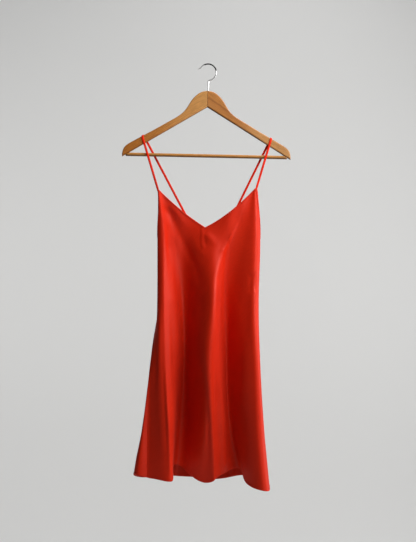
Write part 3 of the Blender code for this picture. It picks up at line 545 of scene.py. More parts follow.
def back_side_left(a):
    """Back edge from the left underarm, AROUND, to the strap."""
    end = shift_around(STRAP_BACK_L, BACK_STRAP_LEFT[1], STRAP_WIDTH / 2)
    t = np.clip((AROUND - a) / (AROUND - end), 0, 1)
    return UNDERARM_LEFT + (BACK_STRAP_LEFT[1] - UNDERARM_LEFT) * t ** BACK_SIDE_POWER


def back_side_right(a):
    """Back edge from the right underarm to the strap."""
    end = shift_around(STRAP_BACK_R, BACK_STRAP_RIGHT[1], -STRAP_WIDTH / 2)
    t = np.clip((a - SIDE_RIGHT) / (end - SIDE_RIGHT), 0, 1)
    return UNDERARM_RIGHT + (BACK_STRAP_RIGHT[1] - UNDERARM_RIGHT) * t ** BACK_SIDE_POWER


def back_neck(a):
    """Back neckline between the straps, a shallow scoop."""
    middle = (STRAP_BACK_R + STRAP_BACK_L) / 2
    half = (STRAP_BACK_L - STRAP_BACK_R) / 2
    return BACK_STRAP_LEFT[1] - BACK_SCOOP * (1 - ((a - middle) / half) ** 2)


def inset(edge, start, end, distance):
    """An edge z = edge(a) moved into the cloth: a function of a, good from start to end."""
    margin = 0.6           # fold lines past both ends
    a = np.linspace(start - margin, end + margin, FINE)
    z = edge(a)
    around, _ = body_frame(a, z)
    metric = np.linalg.norm(around, axis=1)
    slope = np.gradient(z, a) / metric
    length = np.sqrt(1 + slope ** 2)
    moved_a = a + distance * slope / length / metric
    moved_z = z - distance / length
    order = np.argsort(moved_a)
    return lambda place: np.interp(place, moved_a[order], moved_z[order])


def crossing(first, second, low, high):
    """The place between low and high where two edges cross."""
    a = np.linspace(low, high, FINE)
    return a[np.argmin(np.abs(first(a) - second(a)))]


print("V point on fold line", round(V_PLACE, 2))

# %% [markdown]
# ## Satin
#
# Satin is a weave in which each thread floats over several others before it dips under one, so the
# face is nearly all long, parallel, shiny threads.  That gives it two lights at once: a deep soft
# colour, and a broad glow that takes the colour of the dye, because light enters the thread before
# it comes back.  A plain glossy plastic would have a white, tight highlight, which also flares up
# wherever the surface turns edge on, as varnish does.  A thread's shine does neither.  So the
# Principled shader's own highlight is nearly off, and a small share of a separate gloss, tinted,
# middling rough and stretched across the threads by anisotropy, is mixed over the colour.
#
# The dress is cut on the bias: the threads run at 45 degrees to the floor.  Real floats are about
# 0.1 mm wide, far too fine to see here, so the weave is drawn about twenty times coarser and very
# faint, with longer, fainter streaks where a thread is thicker than its neighbours.

# %% Satin material
THREAD_RIB = 0.0022        # spacing of the drawn ribs, metres
SLUB_LENGTH = 0.035
SLUB_WIDTH = 0.0018
WEAVE_DEPTH = 0.00004


def satin_material(name, lit, deep, gloss_share):
    """Satin in two close reds, for a piece with a "cloth" UV map in metres."""
    material, tree, output = new_material(name)
    where = add_node(tree, "ShaderNodeUVMap", uv_map="cloth")
    bias = add_node(tree, "ShaderNodeMapping", {
        "Vector": where.outputs["UV"], "Rotation": (0, 0, math.radians(45))})
    ribs = add_node(tree, "ShaderNodeTexWave", {
        "Vector": bias.outputs["Vector"], "Scale": wave_scale(THREAD_RIB),
        "Distortion": 1.2, "Detail": 2.0, "Detail Scale": 1.5}, bands_direction="X")
    streak_space = add_node(tree, "ShaderNodeMapping", {
        "Vector": bias.outputs["Vector"], "Scale": (1 / SLUB_WIDTH, 1 / SLUB_LENGTH, 1)})
    streaks = add_node(tree, "ShaderNodeTexNoise", {
        "Vector": streak_space.outputs["Vector"], "Scale": 1.0, "Detail": 3.0, "Roughness": 0.6})
    cloud = add_node(tree, "ShaderNodeTexNoise", {
        "Vector": where.outputs["UV"], "Scale": 9.0, "Detail": 4.0})
    blend = add_node(tree, "ShaderNodeMath", {
        0: streaks.outputs["Fac"], 1: cloud.outputs["Fac"]}, operation="MULTIPLY")
    stretch = add_node(tree, "ShaderNodeMapRange", {
        "Value": blend.outputs["Value"], "From Min": 0.12, "From Max": 0.42})
    colour = add_node(tree, "ShaderNodeMix", {
        "Factor": stretch.outputs["Result"], "A": linear(deep), "B": linear(lit)},
        data_type="RGBA")
    rough = add_node(tree, "ShaderNodeMapRange", {
        "Value": streaks.outputs["Fac"], "To Min": 0.53, "To Max": 0.63})
    relief = add_node(tree, "ShaderNodeMath", {
        0: ribs.outputs["Fac"], 1: streaks.outputs["Fac"]}, operation="ADD")
    bump = add_node(tree, "ShaderNodeBump", {
        "Height": relief.outputs["Value"], "Strength": 0.25, "Distance": WEAVE_DEPTH})
    tangent = add_node(tree, "ShaderNodeTangent", direction_type="UV_MAP", uv_map="cloth")
    shader = add_node(tree, "ShaderNodeBsdfPrincipled", {
        "Base Color": colour.outputs["Result"], "Roughness": rough.outputs["Result"],
        "Metallic": 0.02, "Anisotropic": 0.35, "Anisotropic Rotation": 0.125,
        "Specular IOR Level": 0.03, "Sheen Weight": 0.04, "Sheen Roughness": 0.35,
        "Sheen Tint": linear("#ff8a70"), "Normal": bump.outputs["Normal"],
        "Tangent": tangent.outputs["Tangent"]})
    gloss = add_node(tree, "ShaderNodeBsdfAnisotropic", {
        "Color": linear("#ffc6b9"), "Roughness": 0.46, "Anisotropy": 0.3, "Rotation": 0.125,
        "Normal": bump.outputs["Normal"], "Tangent": tangent.outputs["Tangent"]})
    both = add_node(tree, "ShaderNodeMixShader", {
        0: gloss_share, 1: shader.outputs["BSDF"], 2: gloss.outputs["BSDF"]})
    tree.links.new(both.outputs["Shader"], output.inputs["Surface"])
    return material


satin = satin_material("red silk satin", "#d5280d", "#c72209", 0.030)
# the straps get a slightly lighter copy of the same satin, with less gloss: the extra lightness is
# painted light
strap_satin = satin_material("red silk satin, painted lighter for the straps", "#e0280a", "#d22206", 0.012)
print("satin ribs every", THREAD_RIB / MM, "mm")

# %% [markdown]
# ## From a grid of points to a thin shell
#
# Each panel is a grid of points on the cloth, rows down and columns round.  The shell puts a skin on
# both sides of it and closes the two with a rim, as thick as the cloth.  A wall with two sides,
# unlike a bare surface, has an edge to catch the light at the hem.

# %% Shell builder
def shell(name, outer, inner, uv, material):
    """A closed shell between two grids (rows, columns, 3) in mm, with its cloth UVs in mm."""
    rows, columns = outer.shape[:2]
    count = rows * columns
    index = np.arange(count).reshape(rows, columns)
    a, b = index[:-1, :-1].ravel(), index[:-1, 1:].ravel()
    c, d = index[1:, 1:].ravel(), index[1:, :-1].ravel()
    faces = [np.stack((a, d, c, b), axis=1), np.stack((a, b, c, d), axis=1) + count]
    rim = np.concatenate((index[0, :], index[1:, -1], index[-1, -2::-1], index[-2:0:-1, 0]))
    after = np.roll(rim, -1)
    faces.append(np.stack((rim, after, after + count, rim + count), axis=1))
    faces = np.concatenate(faces)
    mesh = bpy.data.meshes.new(name)
    points = np.concatenate((outer.reshape(-1, 3), inner.reshape(-1, 3))) * MM
    mesh.from_pydata(points.tolist(), [], faces.tolist())
    both = np.concatenate((uv.reshape(-1, 2), uv.reshape(-1, 2))) * MM
    layer = mesh.uv_layers.new(name="cloth")
    layer.data.foreach_set("uv", both[faces.ravel()].ravel())
    mesh.shade_smooth()
    mesh.set_sharp_from_angle(angle=math.radians(60))
    mesh.materials.append(material)
    return new_object(name, mesh)


def grid_normals(points):
    """Outward unit normals of a grid of points, from its own neighbours."""
    round_step = np.gradient(points, axis=1)
    down_step = np.gradient(points, axis=0)
    return unit(np.cross(down_step, round_step))


def cloth_uv(points):
    """Cloth coordinates of a grid: mm round and mm down, measured on the cloth."""
    along = np.linalg.norm(np.diff(points, axis=1), axis=2)
    u = np.concatenate((np.zeros((len(points), 1)), np.cumsum(along, axis=1)), axis=1)
    u -= u[:, u.shape[1] // 2][:, None]
    down = np.linalg.norm(np.diff(points, axis=0), axis=2)
    v = np.concatenate((np.zeros((1, points.shape[1])), np.cumsum(down, axis=0)), axis=0)
    v -= v[-1][None, :]
    return np.stack((u, -v), axis=2)


print("shell builder ready")

# %% [markdown]
# ## Front and back
#
# The front is cut in one piece from the neckline to the hem, and so is the back.  Columns are
# spread evenly over the cloth, not over the fold lines, so the mesh is as fine on a crest as in a
# valley.  Rows get closer together at the bottom, where the narrow hem is: the edge is turned up
# twice, three layers thick, and the row of stitches near its top pulls a shallow dent.

# %% Panels
SATIN_THICKNESS = 0.45
HEM_WIDTH = 7.0
HEM_THICKNESS = 1.25
HEM_ZONE = HEM_WIDTH * 1.4     # the closer rows begin this far above the edge
HEM_ONSET = 2.5            # how suddenly the cloth gets thick at the top of the hem, per mm
HEM_ONSET_MOST = 50        # keeps the power of e below what a number can hold
HEM_ROUNDING = 1.2         # the lowest part of the edge is rounded off
HEM_LEAST = 0.15           # what is left of the thickness at the very edge, squared
HEM_STITCH_LINE = HEM_WIDTH - 1.2    # height of the row of stitches above the edge
HEM_DENT = 0.30
HEM_DENT_REACH = 1.1
PANEL_COLUMNS = 196
BODY_ROWS = 200
HEM_ROWS = 12
SEAM_GAP = 0.05            # between the two panels, and between the two halves of the hanger
SEAM_DIP = 0.7             # a side seam sinks a little, as its allowances pull
SEAM_REACH = 5.0
CORNER_SEARCH = 1.5        # fold lines next to a strap among which its edges cross


def even_places(start, end, count):
    """Places round, evenly spaced by the length of cloth between them at the hip."""
    a = np.linspace(start, end, FINE)
    along = along_path(body(a, HIP))
    return np.interp(np.linspace(0, along[-1], count + 1), along, a)


def rounded_off(distance, radius, least):
    """Share of the full thickness at a distance from a rounded end, squared never under least."""
    return np.sqrt(np.clip(1 - (1 - distance / radius).clip(0, 1) ** 2, least, 1))


def uneven(distance, short, long, phase=0.0):
    """A wobble between -1 and 1 along a seam that doesn't seem to repeat: two unlike waves."""
    return np.sin(distance / short) * np.sin(distance / long + phase)


def panel(name, columns, top, material):
    """A panel from its top edge, a height for each column, to its turned hem."""
    hem = hem_height(columns)
    body_share = np.linspace(0, 1, BODY_ROWS + 1)[:-1]
    above_hem = top + (hem + HEM_ZONE - top) * body_share[:, None]
    hem_share = np.linspace(0, 1, HEM_ROWS + 1)[:, None]
    near_hem = hem + HEM_ZONE * (1 - hem_share)
    z = np.concatenate((above_hem, near_hem))
    a = np.broadcast_to(columns, z.shape)
    middle, pinned_normals = cloth(a, z)
    uv = cloth_uv(middle)
    near_side = np.minimum(uv[..., 0] - uv[..., :1, 0], uv[..., -1:, 0] - uv[..., 0])
    by_seam = np.exp(-(near_side / SEAM_REACH) ** 2)
    # both panels lean the same way along a side seam, so that no slit opens between them
    by_seam = by_seam[..., None]
    normals = unit(grid_normals(middle) * (1 - by_seam) + pinned_normals * by_seam)
    from_hem = z - hem
    onset = np.minimum((from_hem - HEM_WIDTH) * HEM_ONSET, HEM_ONSET_MOST)
    thick = SATIN_THICKNESS + (HEM_THICKNESS - SATIN_THICKNESS) / (1 + np.exp(onset))
    half = thick * rounded_off(from_hem, HEM_ROUNDING, HEM_LEAST) / 2
    dent = HEM_DENT * np.exp(-((from_hem - HEM_STITCH_LINE) / HEM_DENT_REACH) ** 2)
    pull = 0.6 + 0.4 * uneven(uv[..., 0], 4.3, 11.7, 1.3)
    seam = SEAM_DIP * by_seam[..., 0]
    outer = middle + normals * (half - dent * pull - seam)[..., None]
    inner = middle - normals * (half + seam)[..., None]
    return shell(name, outer, inner, uv, material), middle


def front_corner(side):
    """Everything about one strap corner of the front that its pieces share."""
    if side == "left":
        arm, neck, top = armhole_left, neckline_left, TOP_L
        arm_range, neck_range = (0.0, TOP_L), (TOP_L, V_PLACE)
        corner_z, turn = CORNER_LEFT[1], 1
    else:
        arm, neck, top = armhole_right, neckline_right, TOP_R
        arm_range, neck_range = (TOP_R, float(SIDE_RIGHT)), (V_PLACE, TOP_R)
        corner_z, turn = CORNER_RIGHT[1], -1
    arm_seam = inset(arm, *arm_range, STRAP_WIDTH)
    neck_seam = inset(neck, *neck_range, NECK_BINDING)
    under_arm = inset(arm, *arm_range, STRAP_WIDTH * RAW_EDGE)
    under_neck = inset(neck, *neck_range, NECK_BINDING * RAW_EDGE)
    low, high = sorted((top, top + turn * CORNER_SEARCH))
    return {
        "arm": arm, "neck": neck, "top": top, "top_z": corner_z, "turn": turn,
        "arm_seam": arm_seam, "neck_seam": neck_seam,
        "under_arm": under_arm, "under_neck": under_neck,
        "arm_end": crossing(arm_seam, lambda a: np.full(a.shape, corner_z), low, high),
        "neck_start": crossing(arm_seam, neck_seam, low, high),
        "panel_corner": crossing(under_arm, under_neck, low, high),
    }


corners = {side: front_corner(side) for side in SIDES}

# %% Front panel
first = shift_around(0.0, HIP, SEAM_GAP / 2)
last = shift_around(float(SIDE_RIGHT), HIP, -SEAM_GAP / 2)
left, right = corners["left"], corners["right"]
front_columns = even_places(first, last, PANEL_COLUMNS)
for exact in (left["panel_corner"], V_PLACE, right["panel_corner"]):
    front_columns[np.argmin(np.abs(front_columns - exact))] = exact
top = np.where(front_columns < left["panel_corner"], left["under_arm"](front_columns),
               left["under_neck"](front_columns))
for place, edge in ((V_PLACE, right["under_neck"]), (right["panel_corner"], right["under_arm"])):
    top = np.where(front_columns > place, edge(front_columns), top)
front, front_middle = panel("front", front_columns, top, satin)
print("front:", len(front.data.polygons), "faces")

# %% Back panel
right_edge = inset(back_side_right, SIDE_RIGHT, STRAP_BACK_R, STRAP_WIDTH * RAW_EDGE)
left_edge = inset(back_side_left, STRAP_BACK_L, AROUND, STRAP_WIDTH * RAW_EDGE)
scoop = inset(back_neck, STRAP_BACK_R, STRAP_BACK_L, NECK_BINDING * RAW_EDGE)
first = shift_around(float(SIDE_RIGHT), HIP, SEAM_GAP / 2)
last = shift_around(float(AROUND), HIP, -SEAM_GAP / 2)
back_columns = even_places(first, last, PANEL_COLUMNS)
top = np.where(back_columns < STRAP_BACK_R, right_edge(back_columns), scoop(back_columns))
top = np.where(back_columns > STRAP_BACK_L, left_edge(back_columns), top)
back, back_middle = panel("back", back_columns, top, satin)
print("back:", len(back.data.polygons), "faces")

# %% [markdown]
# ## Bindings
#
# A raw satin edge frays, so a narrow strip of the same cloth is folded over it and stitched.
# Round an armhole this strip goes on as the strap.  Each binding here is a flat tube: a rounded
# section, wide as the strip and thick as its four layers, that slides along the edge.

# %% Binding builder
BINDING_THICKNESS = 1.9
BINDING_PITCH = 2.2        # mm between sections along a binding
SECTION_STEPS = 16
NECK_POINTS = 200
ARMHOLE_POINTS = 160
NECK_TUCK = 0.8            # mm that a neck binding reaches under the end of its armhole binding


def rounded_section(steps, squareness=3.0):
    """A rounded flat section as (across, through) pairs from -1 to 1, going once round."""
    turn = np.linspace(0, math.tau, steps, endpoint=False)
    across = np.sign(np.cos(turn)) * np.abs(np.cos(turn)) ** (2 / squareness)
    through = np.sign(np.sin(turn)) * np.abs(np.sin(turn)) ** (2 / squareness)
    return across, through


def tube_uv(stations, round_it):
    """Cloth coordinates of a tube: mm along it and mm across or round it."""
    return np.stack(np.broadcast_arrays(stations[:, None], round_it[None, :]), axis=2)


def tube(name, rings, uv, material):
    """A closed tube through rings of points (stations, steps, 3) in mm, ends filled with fans."""
    stations, steps = rings.shape[:2]
    points = np.concatenate((rings.reshape(-1, 3), rings[0].mean(axis=0)[None],
                             rings[-1].mean(axis=0)[None]))
    index = np.arange(stations * steps).reshape(stations, steps)
    faces = []
    for k in range(stations - 1):
        for i in range(steps):
            j = (i + 1) % steps
            faces.append((index[k, i], index[k, j], index[k + 1, j], index[k + 1, i]))
    start, stop = len(points) - 2, len(points) - 1
    for i in range(steps):
        j = (i + 1) % steps
        faces.append((start, index[0, j], index[0, i]))
        faces.append((stop, index[-1, i], index[-1, j]))
    mesh = bpy.data.meshes.new(name)
    mesh.from_pydata((points * MM).tolist(), [], [tuple(int(v) for v in face) for face in faces])
    bm = bmesh.new()
    bm.from_mesh(mesh)
    bmesh.ops.recalc_face_normals(bm, faces=bm.faces)
    bm.to_mesh(mesh)
    bm.free()
    cloth_at = np.concatenate((uv.reshape(-1, 2), uv[0].mean(axis=0)[None],
                               uv[-1].mean(axis=0)[None])) * MM
    layer = mesh.uv_layers.new(name="cloth")
    corner_of = np.empty(len(mesh.loops), dtype=int)
    mesh.loops.foreach_get("vertex_index", corner_of)
    layer.data.foreach_set("uv", cloth_at[corner_of].ravel())
    mesh.shade_smooth()
    mesh.materials.append(material)
    return new_object(name, mesh)


def at_stations(stations, length, values):
    """The values (one row per point of a path) at other distances along the path."""
    return np.stack([np.interp(stations, length, column) for column in values.T], axis=1)


def binding(name, outer, inner, material):
    """A flat tube between two edges given as (a, z) pairs along the binding."""
    path, _ = cloth(*((outer + inner) / 2).T)
    length = along_path(path)
    stations = np.linspace(0, length[-1], int(length[-1] / BINDING_PITCH) + 1)
    outer, inner = (at_stations(stations, length, edge) for edge in (outer, inner))
    across, through = rounded_section(SECTION_STEPS)
    places = (outer + inner)[:, None] / 2 + (outer - inner)[:, None] / 2 * across[None, :, None]
    points, normals = cloth(places[..., 0], places[..., 1])
    ripple = 1 + 0.10 * uneven(stations, 3.1, 8.7)
    rise = through * ripple[:, None] * BINDING_THICKNESS / 2
    rings = points + normals * rise[..., None]
    return tube(name, rings, tube_uv(stations, across * NECK_BINDING / 2), material)


# %% Neck bindings
neck_bindings = []
for side in SIDES:
    corner = corners[side]
    outer_start = shift_around(corner["arm_end"], corner["top_z"], -corner["turn"] * NECK_TUCK)
    outer_a = np.linspace(outer_start, V_PLACE, NECK_POINTS)
    inner_a = np.linspace(corner["neck_start"], V_PLACE, NECK_POINTS)
    outer = np.stack((outer_a, corner["neck"](outer_a)), axis=1)
    inner = np.stack((inner_a, corner["neck_seam"](inner_a)), axis=1)
    neck_bindings.append(binding(f"neck_binding_{side}_satin", outer, inner, satin))
print("neck bindings:", [len(piece.data.polygons) for piece in neck_bindings])

# %% Back neck binding
places = np.linspace(STRAP_BACK_R, STRAP_BACK_L, NECK_POINTS)
seam = inset(back_neck, STRAP_BACK_R, STRAP_BACK_L, NECK_BINDING)
outer = np.stack((places, back_neck(places)), axis=1)
inner = np.stack((places, seam(places)), axis=1)
back_binding = binding("back_neck_binding_satin", outer, inner, satin)
print("back neck binding:", len(back_binding.data.polygons), "faces")

# %% Armhole bindings
armhole_bindings = []
armhole_edges = {}
for side in SIDES:
    corner = corners[side]
    if side == "left":
        strap_place, edge, seam_side, shift = STRAP_BACK_L, back_side_left, AROUND, AROUND
        seam = inset(back_side_left, STRAP_BACK_L, AROUND, STRAP_WIDTH)
    else:
        strap_place, edge, seam_side, shift = STRAP_BACK_R, back_side_right, SIDE_RIGHT, 0
        seam = inset(back_side_right, SIDE_RIGHT, STRAP_BACK_R, STRAP_WIDTH)
    back_a = np.linspace(strap_place, seam_side, ARMHOLE_POINTS)
    front_side = float(seam_side - shift)
    halves = []
    for back_edge, front_edge, end in ((edge, corner["arm"], corner["top"]),
                                       (seam, corner["arm_seam"], corner["arm_end"])):
        front_a = np.linspace(front_side, end, ARMHOLE_POINTS)[1:]
        halves.append(np.concatenate((np.stack((back_a - shift, back_edge(back_a)), axis=1),
                                      np.stack((front_a, front_edge(front_a)), axis=1))))
    armhole_edges[side] = halves
    armhole_bindings.append(binding(f"armhole_binding_{side}_satin", *halves, satin))
print("armhole bindings:", [len(piece.data.polygons) for piece in armhole_bindings])

# %% [markdown]
# ## Straps
#
# A slip's straps are "rouleaux": a bias strip sewn into a tube and turned inside out, so they are
# round-edged and soft.  Each one rises from the front corner, bends over the wooden arm and comes
# down behind to the low back edge.

# %% Straps
HANGER_TILT = 1.2
ARM_THICKNESS = 12.0
ARM_EDGE_RADIUS = 3.0
STRAP_SEAT = 170.5         # from the middle of the hanger, along its own level
STRAP_SLANT = {"left": 4.0, "right": 0.8}    # how far a strap slides inward over the arm
STRAP_ON_FACE = (-14.0, -8.0)    # two heights at which it lies along the arm's faces
STRAP_GAP = 0.45
STRAP_CLOTH = 1.4          # the model's strap, which leaves room for the real one
STRAP_THICKNESS = 2.0
STRAP_SEWN = (1.5, 3.0)    # how far its ends reach below the edges, front and back
STRAP_PITCH = 1.6
STRAP_RUN_POINTS = 40
STRAP_TURNS = (0.12, 0.9)  # shares of its length between which it hangs free of the cloth
ARM_TOP = (
    # upper outline of a hanger arm, from the joint to the tip: distance from the middle, height
    (0.0, -70.0), (17.0, -73.6), (32.0, -84.2), (43.0, -97.4), (52.0, -112.5), (61.0, -125.0),
    (76.0, -137.9), (104.0, -154.7), (138.0, -174.7), (168.0, -191.4), (196.0, -207.2),
    (213.0, -218.4), (220.0, -228.5), (223.0, -241.0),
)


def smooth_line(points, count):
    """Points evenly spread along a smooth open curve through the given points."""
    points = np.asarray(points, dtype=float)
    chords = np.linalg.norm(np.diff(points, axis=0), axis=1)
    knots = np.concatenate(([0.0], np.cumsum(np.sqrt(chords))))
    return spline_weights(knots, np.linspace(0, knots[-1], count)) @ points


def softened(points, rounds):
    """A line of points whose corners are softened: each point is drawn towards its neighbours."""
    points = points.copy()
    for _ in range(rounds):
        points[1:-1] = (points[:-2] + 2 * points[1:-1] + points[2:]) / 4
    return points


def tilt(x, z):
    """World x and z of a point given in the level hanger's own x and z."""
    angle = math.radians(HANGER_TILT)
    return np.array((x * math.cos(angle) + z * math.sin(angle),
                     z * math.cos(angle) - x * math.sin(angle)))


def strap_seat(side):
    """Where a strap crosses an arm, with unit vectors up from it and inward along it, in x and z."""
    sign = SIDES[side]
    outline = smooth_line(ARM_TOP, FINE)
    reach = 10.0
    inner, seat, outer = (tilt(sign * place, np.interp(place, outline[:, 0], outline[:, 1]))
                          for place in (STRAP_SEAT - reach, STRAP_SEAT, STRAP_SEAT + reach))
    inward = unit(inner - outer)
    return seat, sign * np.array((inward[1], -inward[0])), inward


def over_the_arm(side, front_end, back_end):
    """Middle line of a strap over the arm: up the front face, over the top, down the back."""
    seat, normal, inward = strap_seat(side)
    clear = STRAP_GAP + STRAP_CLOTH / 2
    face = ARM_THICKNESS / 2 + clear
    bend = ARM_EDGE_RADIUS + clear
    heights = list(STRAP_ON_FACE)
    depths = [face] * len(heights)
    for degrees in (0, 15, 30, 45, 60, 75, 90):
        turn = math.radians(degrees)
        heights.append(clear - bend + bend * math.sin(turn))
        depths.append(face - bend + bend * math.cos(turn))
    heights += heights[::-1]
    depths = [-depth for depth in depths] + depths[::-1]
    half = len(heights) // 2
    route = []
    for step, (height, depth) in enumerate(zip(heights, depths)):
        end = front_end if step < half else back_end
        slide = STRAP_SLANT[side] * min(max((step - 1) / (len(heights) - 3), 0), 1)
        heading = seat - end
        x, z = seat + inward * slide + heading * height / heading.dot(normal)
        route.append((x, depth, z))
    return np.array(route), normal


straps = []
strap_lengths = []
for side in SIDES:
    corner = corners[side]
    back_place, back_z = ((STRAP_BACK_L, BACK_STRAP_LEFT[1]) if side == "left"
                          else (STRAP_BACK_R, BACK_STRAP_RIGHT[1]))
    front_place, front_z = (corner["top"] + corner["arm_end"]) / 2, corner["top_z"]
    front_end = body(front_place, front_z - STRAP_SEWN[0])
    back_end = body(back_place, back_z - STRAP_SEWN[1])
    over, normal = over_the_arm(side, front_end[[0, 2]], back_end[[0, 2]])
    share = np.linspace(0, 1, STRAP_RUN_POINTS)[:, None]
    route = np.concatenate((front_end + (over[0] - front_end) * share[:-1], over,
                            over[-1] + (back_end - over[-1]) * share[1:]))
    rise, fall = over[0] - front_end, back_end - over[-1]
    # which way the strap's width runs at its ends, on its two free parts and on top of the arm
    turns = unit(np.array([body_frame(front_place, front_z)[0], (rise[2], 0, -rise[0]),
                           (normal[1], 0, -normal[0]), (-fall[2], 0, fall[0]),
                           -body_frame(back_place, back_z)[0]]))
    length = along_path(route)
    top = length[np.argmax(route[:, 2])]
    at = [0, length[-1] * STRAP_TURNS[0], top, length[-1] * STRAP_TURNS[1], length[-1]]
    stations = np.linspace(0, length[-1], int(length[-1] / STRAP_PITCH))
    path = softened(at_stations(stations, length, route), rounds=3)
    forward = unit(np.gradient(path, axis=0))
    widths = at_stations(stations, at, turns)
    widths = unit(widths - forward * (widths * forward).sum(axis=1, keepdims=True))
    normals = np.cross(widths, forward)
    across, through = rounded_section(SECTION_STEPS, squareness=2.6)
    thick = STRAP_THICKNESS * (1 + 0.06 * uneven(stations, 9.0, 23.0, 1.0))
    rings = (path[:, None] + widths[:, None] * across[:, None] * STRAP_WIDTH / 2
             + normals[:, None] * through[:, None] * thick[:, None, None] / 2)
    uv = tube_uv(stations, across * STRAP_WIDTH / 2)
    straps.append(tube(f"strap_{side}_satin", rings, uv, strap_satin))
    strap_lengths.append(length[-1])
print("strap lengths (mm):", [round(v) for v in strap_lengths])

# %% [markdown]
# ## Stitches
#
# Stitches repeat along a path, which is what Geometry Nodes are for.  The tree takes a curve,
# cuts it into steps from one stitch to the next, sets a small bead of thread on each point, turned
# along the curve, and makes real mesh of the instances.  Its named inputs are a stitch's sizes.

# %% Thread
thread, tree, output = new_material("polyester sewing thread")
place = add_node(tree, "ShaderNodeTexCoord")
plies = add_node(tree, "ShaderNodeTexNoise", {
    "Vector": place.outputs["Object"], "Scale": 900.0, "Detail": 2.0})
dye = add_node(tree, "ShaderNodeMix", {
    "Factor": plies.outputs["Fac"], "A": linear("#7c1208"), "B": linear("#b8301f")},
    data_type="RGBA")
twist = add_node(tree, "ShaderNodeBump", {
    "Height": plies.outputs["Fac"], "Strength": 0.4, "Distance": 0.0001})
shader = add_node(tree, "ShaderNodeBsdfPrincipled", {
    "Base Color": dye.outputs["Result"], "Roughness": 0.5, "Specular IOR Level": 0.2,
    "Normal": twist.outputs["Normal"]})
tree.links.new(shader.outputs["BSDF"], output.inputs["Surface"])


# %% Stitch tree
def stitch_tree():
    """Geometry Nodes that lay stitches along a curve."""
    tree = bpy.data.node_groups.new("stitches along a curve", "GeometryNodeTree")
    sockets = {}
    for label, kind, value in (("Path", "NodeSocketGeometry", None),
                               ("Pitch", "NodeSocketFloat", 0.003),
                               ("Stitch Length", "NodeSocketFloat", 0.002),
                               ("Thread Width", "NodeSocketFloat", 0.0006),
                               ("Thread", "NodeSocketMaterial", None)):
        socket = tree.interface.new_socket(label, in_out="INPUT", socket_type=kind)
        if value is not None:
            socket.default_value = value
        sockets[label] = socket.identifier
    tree.interface.new_socket("Stitches", in_out="OUTPUT", socket_type="NodeSocketGeometry")
    given = add_node(tree, "NodeGroupInput")
    result = add_node(tree, "NodeGroupOutput")
    steps = add_node(tree, "GeometryNodeResampleCurve", {
        "Curve": given.outputs["Path"], "Length": given.outputs["Pitch"]}, mode="LENGTH")
    heading = add_node(tree, "GeometryNodeInputTangent")
    turned = add_node(tree, "FunctionNodeAlignRotationToVector", {
        "Vector": heading.outputs["Tangent"]}, axis="X")
    bead = add_node(tree, "GeometryNodeMeshUVSphere", {"Segments": 6, "Rings": 5, "Radius": 0.5})
    size = add_node(tree, "ShaderNodeCombineXYZ", {
        "X": given.outputs["Stitch Length"], "Y": given.outputs["Thread Width"],
        "Z": given.outputs["Thread Width"]})
    shaped = add_node(tree, "GeometryNodeTransform", {
        "Geometry": bead.outputs["Mesh"], "Scale": size.outputs["Vector"]})
    placed = add_node(tree, "GeometryNodeInstanceOnPoints", {
        "Points": steps.outputs["Curve"], "Instance": shaped.outputs["Geometry"],
        "Rotation": turned.outputs["Rotation"]})
    real = add_node(tree, "GeometryNodeRealizeInstances", {"Geometry": placed.outputs["Instances"]})
    dyed = add_node(tree, "GeometryNodeSetMaterial", {
        "Geometry": real.outputs["Geometry"], "Material": given.outputs["Thread"]})
    tree.links.new(dyed.outputs["Geometry"], result.inputs["Stitches"])
    return tree, sockets


STITCH_TREE, STITCH_SOCKETS = stitch_tree()


def sew(name, paths, pitch, length, width):
    """Stitches along several paths of points (mm), as one plain mesh."""
    curve = bpy.data.curves.new(name, "CURVE")
    curve.dimensions = "3D"
    for path in paths:
        spline = curve.splines.new("POLY")
        spline.points.add(len(path) - 1)
        spline.points.foreach_set("co", np.column_stack((path * MM, np.ones(len(path)))).ravel())
    guide = new_object(name + "_guide", curve)
    nodes = guide.modifiers.new("stitches", "NODES")
    nodes.node_group = STITCH_TREE
    for label, value in (("Pitch", pitch * MM), ("Stitch Length", length * MM),
                         ("Thread Width", width * MM), ("Thread", thread)):
        nodes[STITCH_SOCKETS[label]] = value
    evaluated = guide.evaluated_get(bpy.context.evaluated_depsgraph_get())
    mesh = bpy.data.meshes.new_from_object(evaluated)
    mesh.name = name
    mesh.shade_smooth()
    bpy.data.objects.remove(guide)
    return new_object(name, mesh)


def on_cloth(a, z, lift):
    """Points on the outside of the cloth, lifted off it by a distance in mm."""
    points, normals = cloth(a, z)
    return points + normals * lift


# %% Sew the edges
EDGE_STITCH = 1.1          # from the seam side of a binding
ON_BINDING = BINDING_THICKNESS * 0.47    # how far off the cloth's middle the beads of thread lie
ON_HEM = HEM_THICKNESS * 0.5 - 0.1
EDGE_LINE_POINTS = 300
HEM_LINE_POINTS = 900

paths = []
for side in SIDES:
    corner = corners[side]
    line = inset(corner["neck"], *sorted((corner["top"], V_PLACE)), NECK_BINDING - EDGE_STITCH)
    a = np.linspace(corner["neck_start"], V_PLACE, EDGE_LINE_POINTS)
    paths.append(on_cloth(a, line(a), ON_BINDING))
    outer, inner = armhole_edges[side]
    places = inner + (outer - inner) * EDGE_STITCH / STRAP_WIDTH
    paths.append(on_cloth(places[:, 0], places[:, 1], ON_BINDING))
line = inset(back_neck, STRAP_BACK_R, STRAP_BACK_L, NECK_BINDING - EDGE_STITCH)
a = np.linspace(STRAP_BACK_R, STRAP_BACK_L, EDGE_LINE_POINTS)
paths.append(on_cloth(a, line(a), ON_BINDING))
edge_stitches = sew("edge_stitches", paths, pitch=2.8, length=2.2, width=0.8)

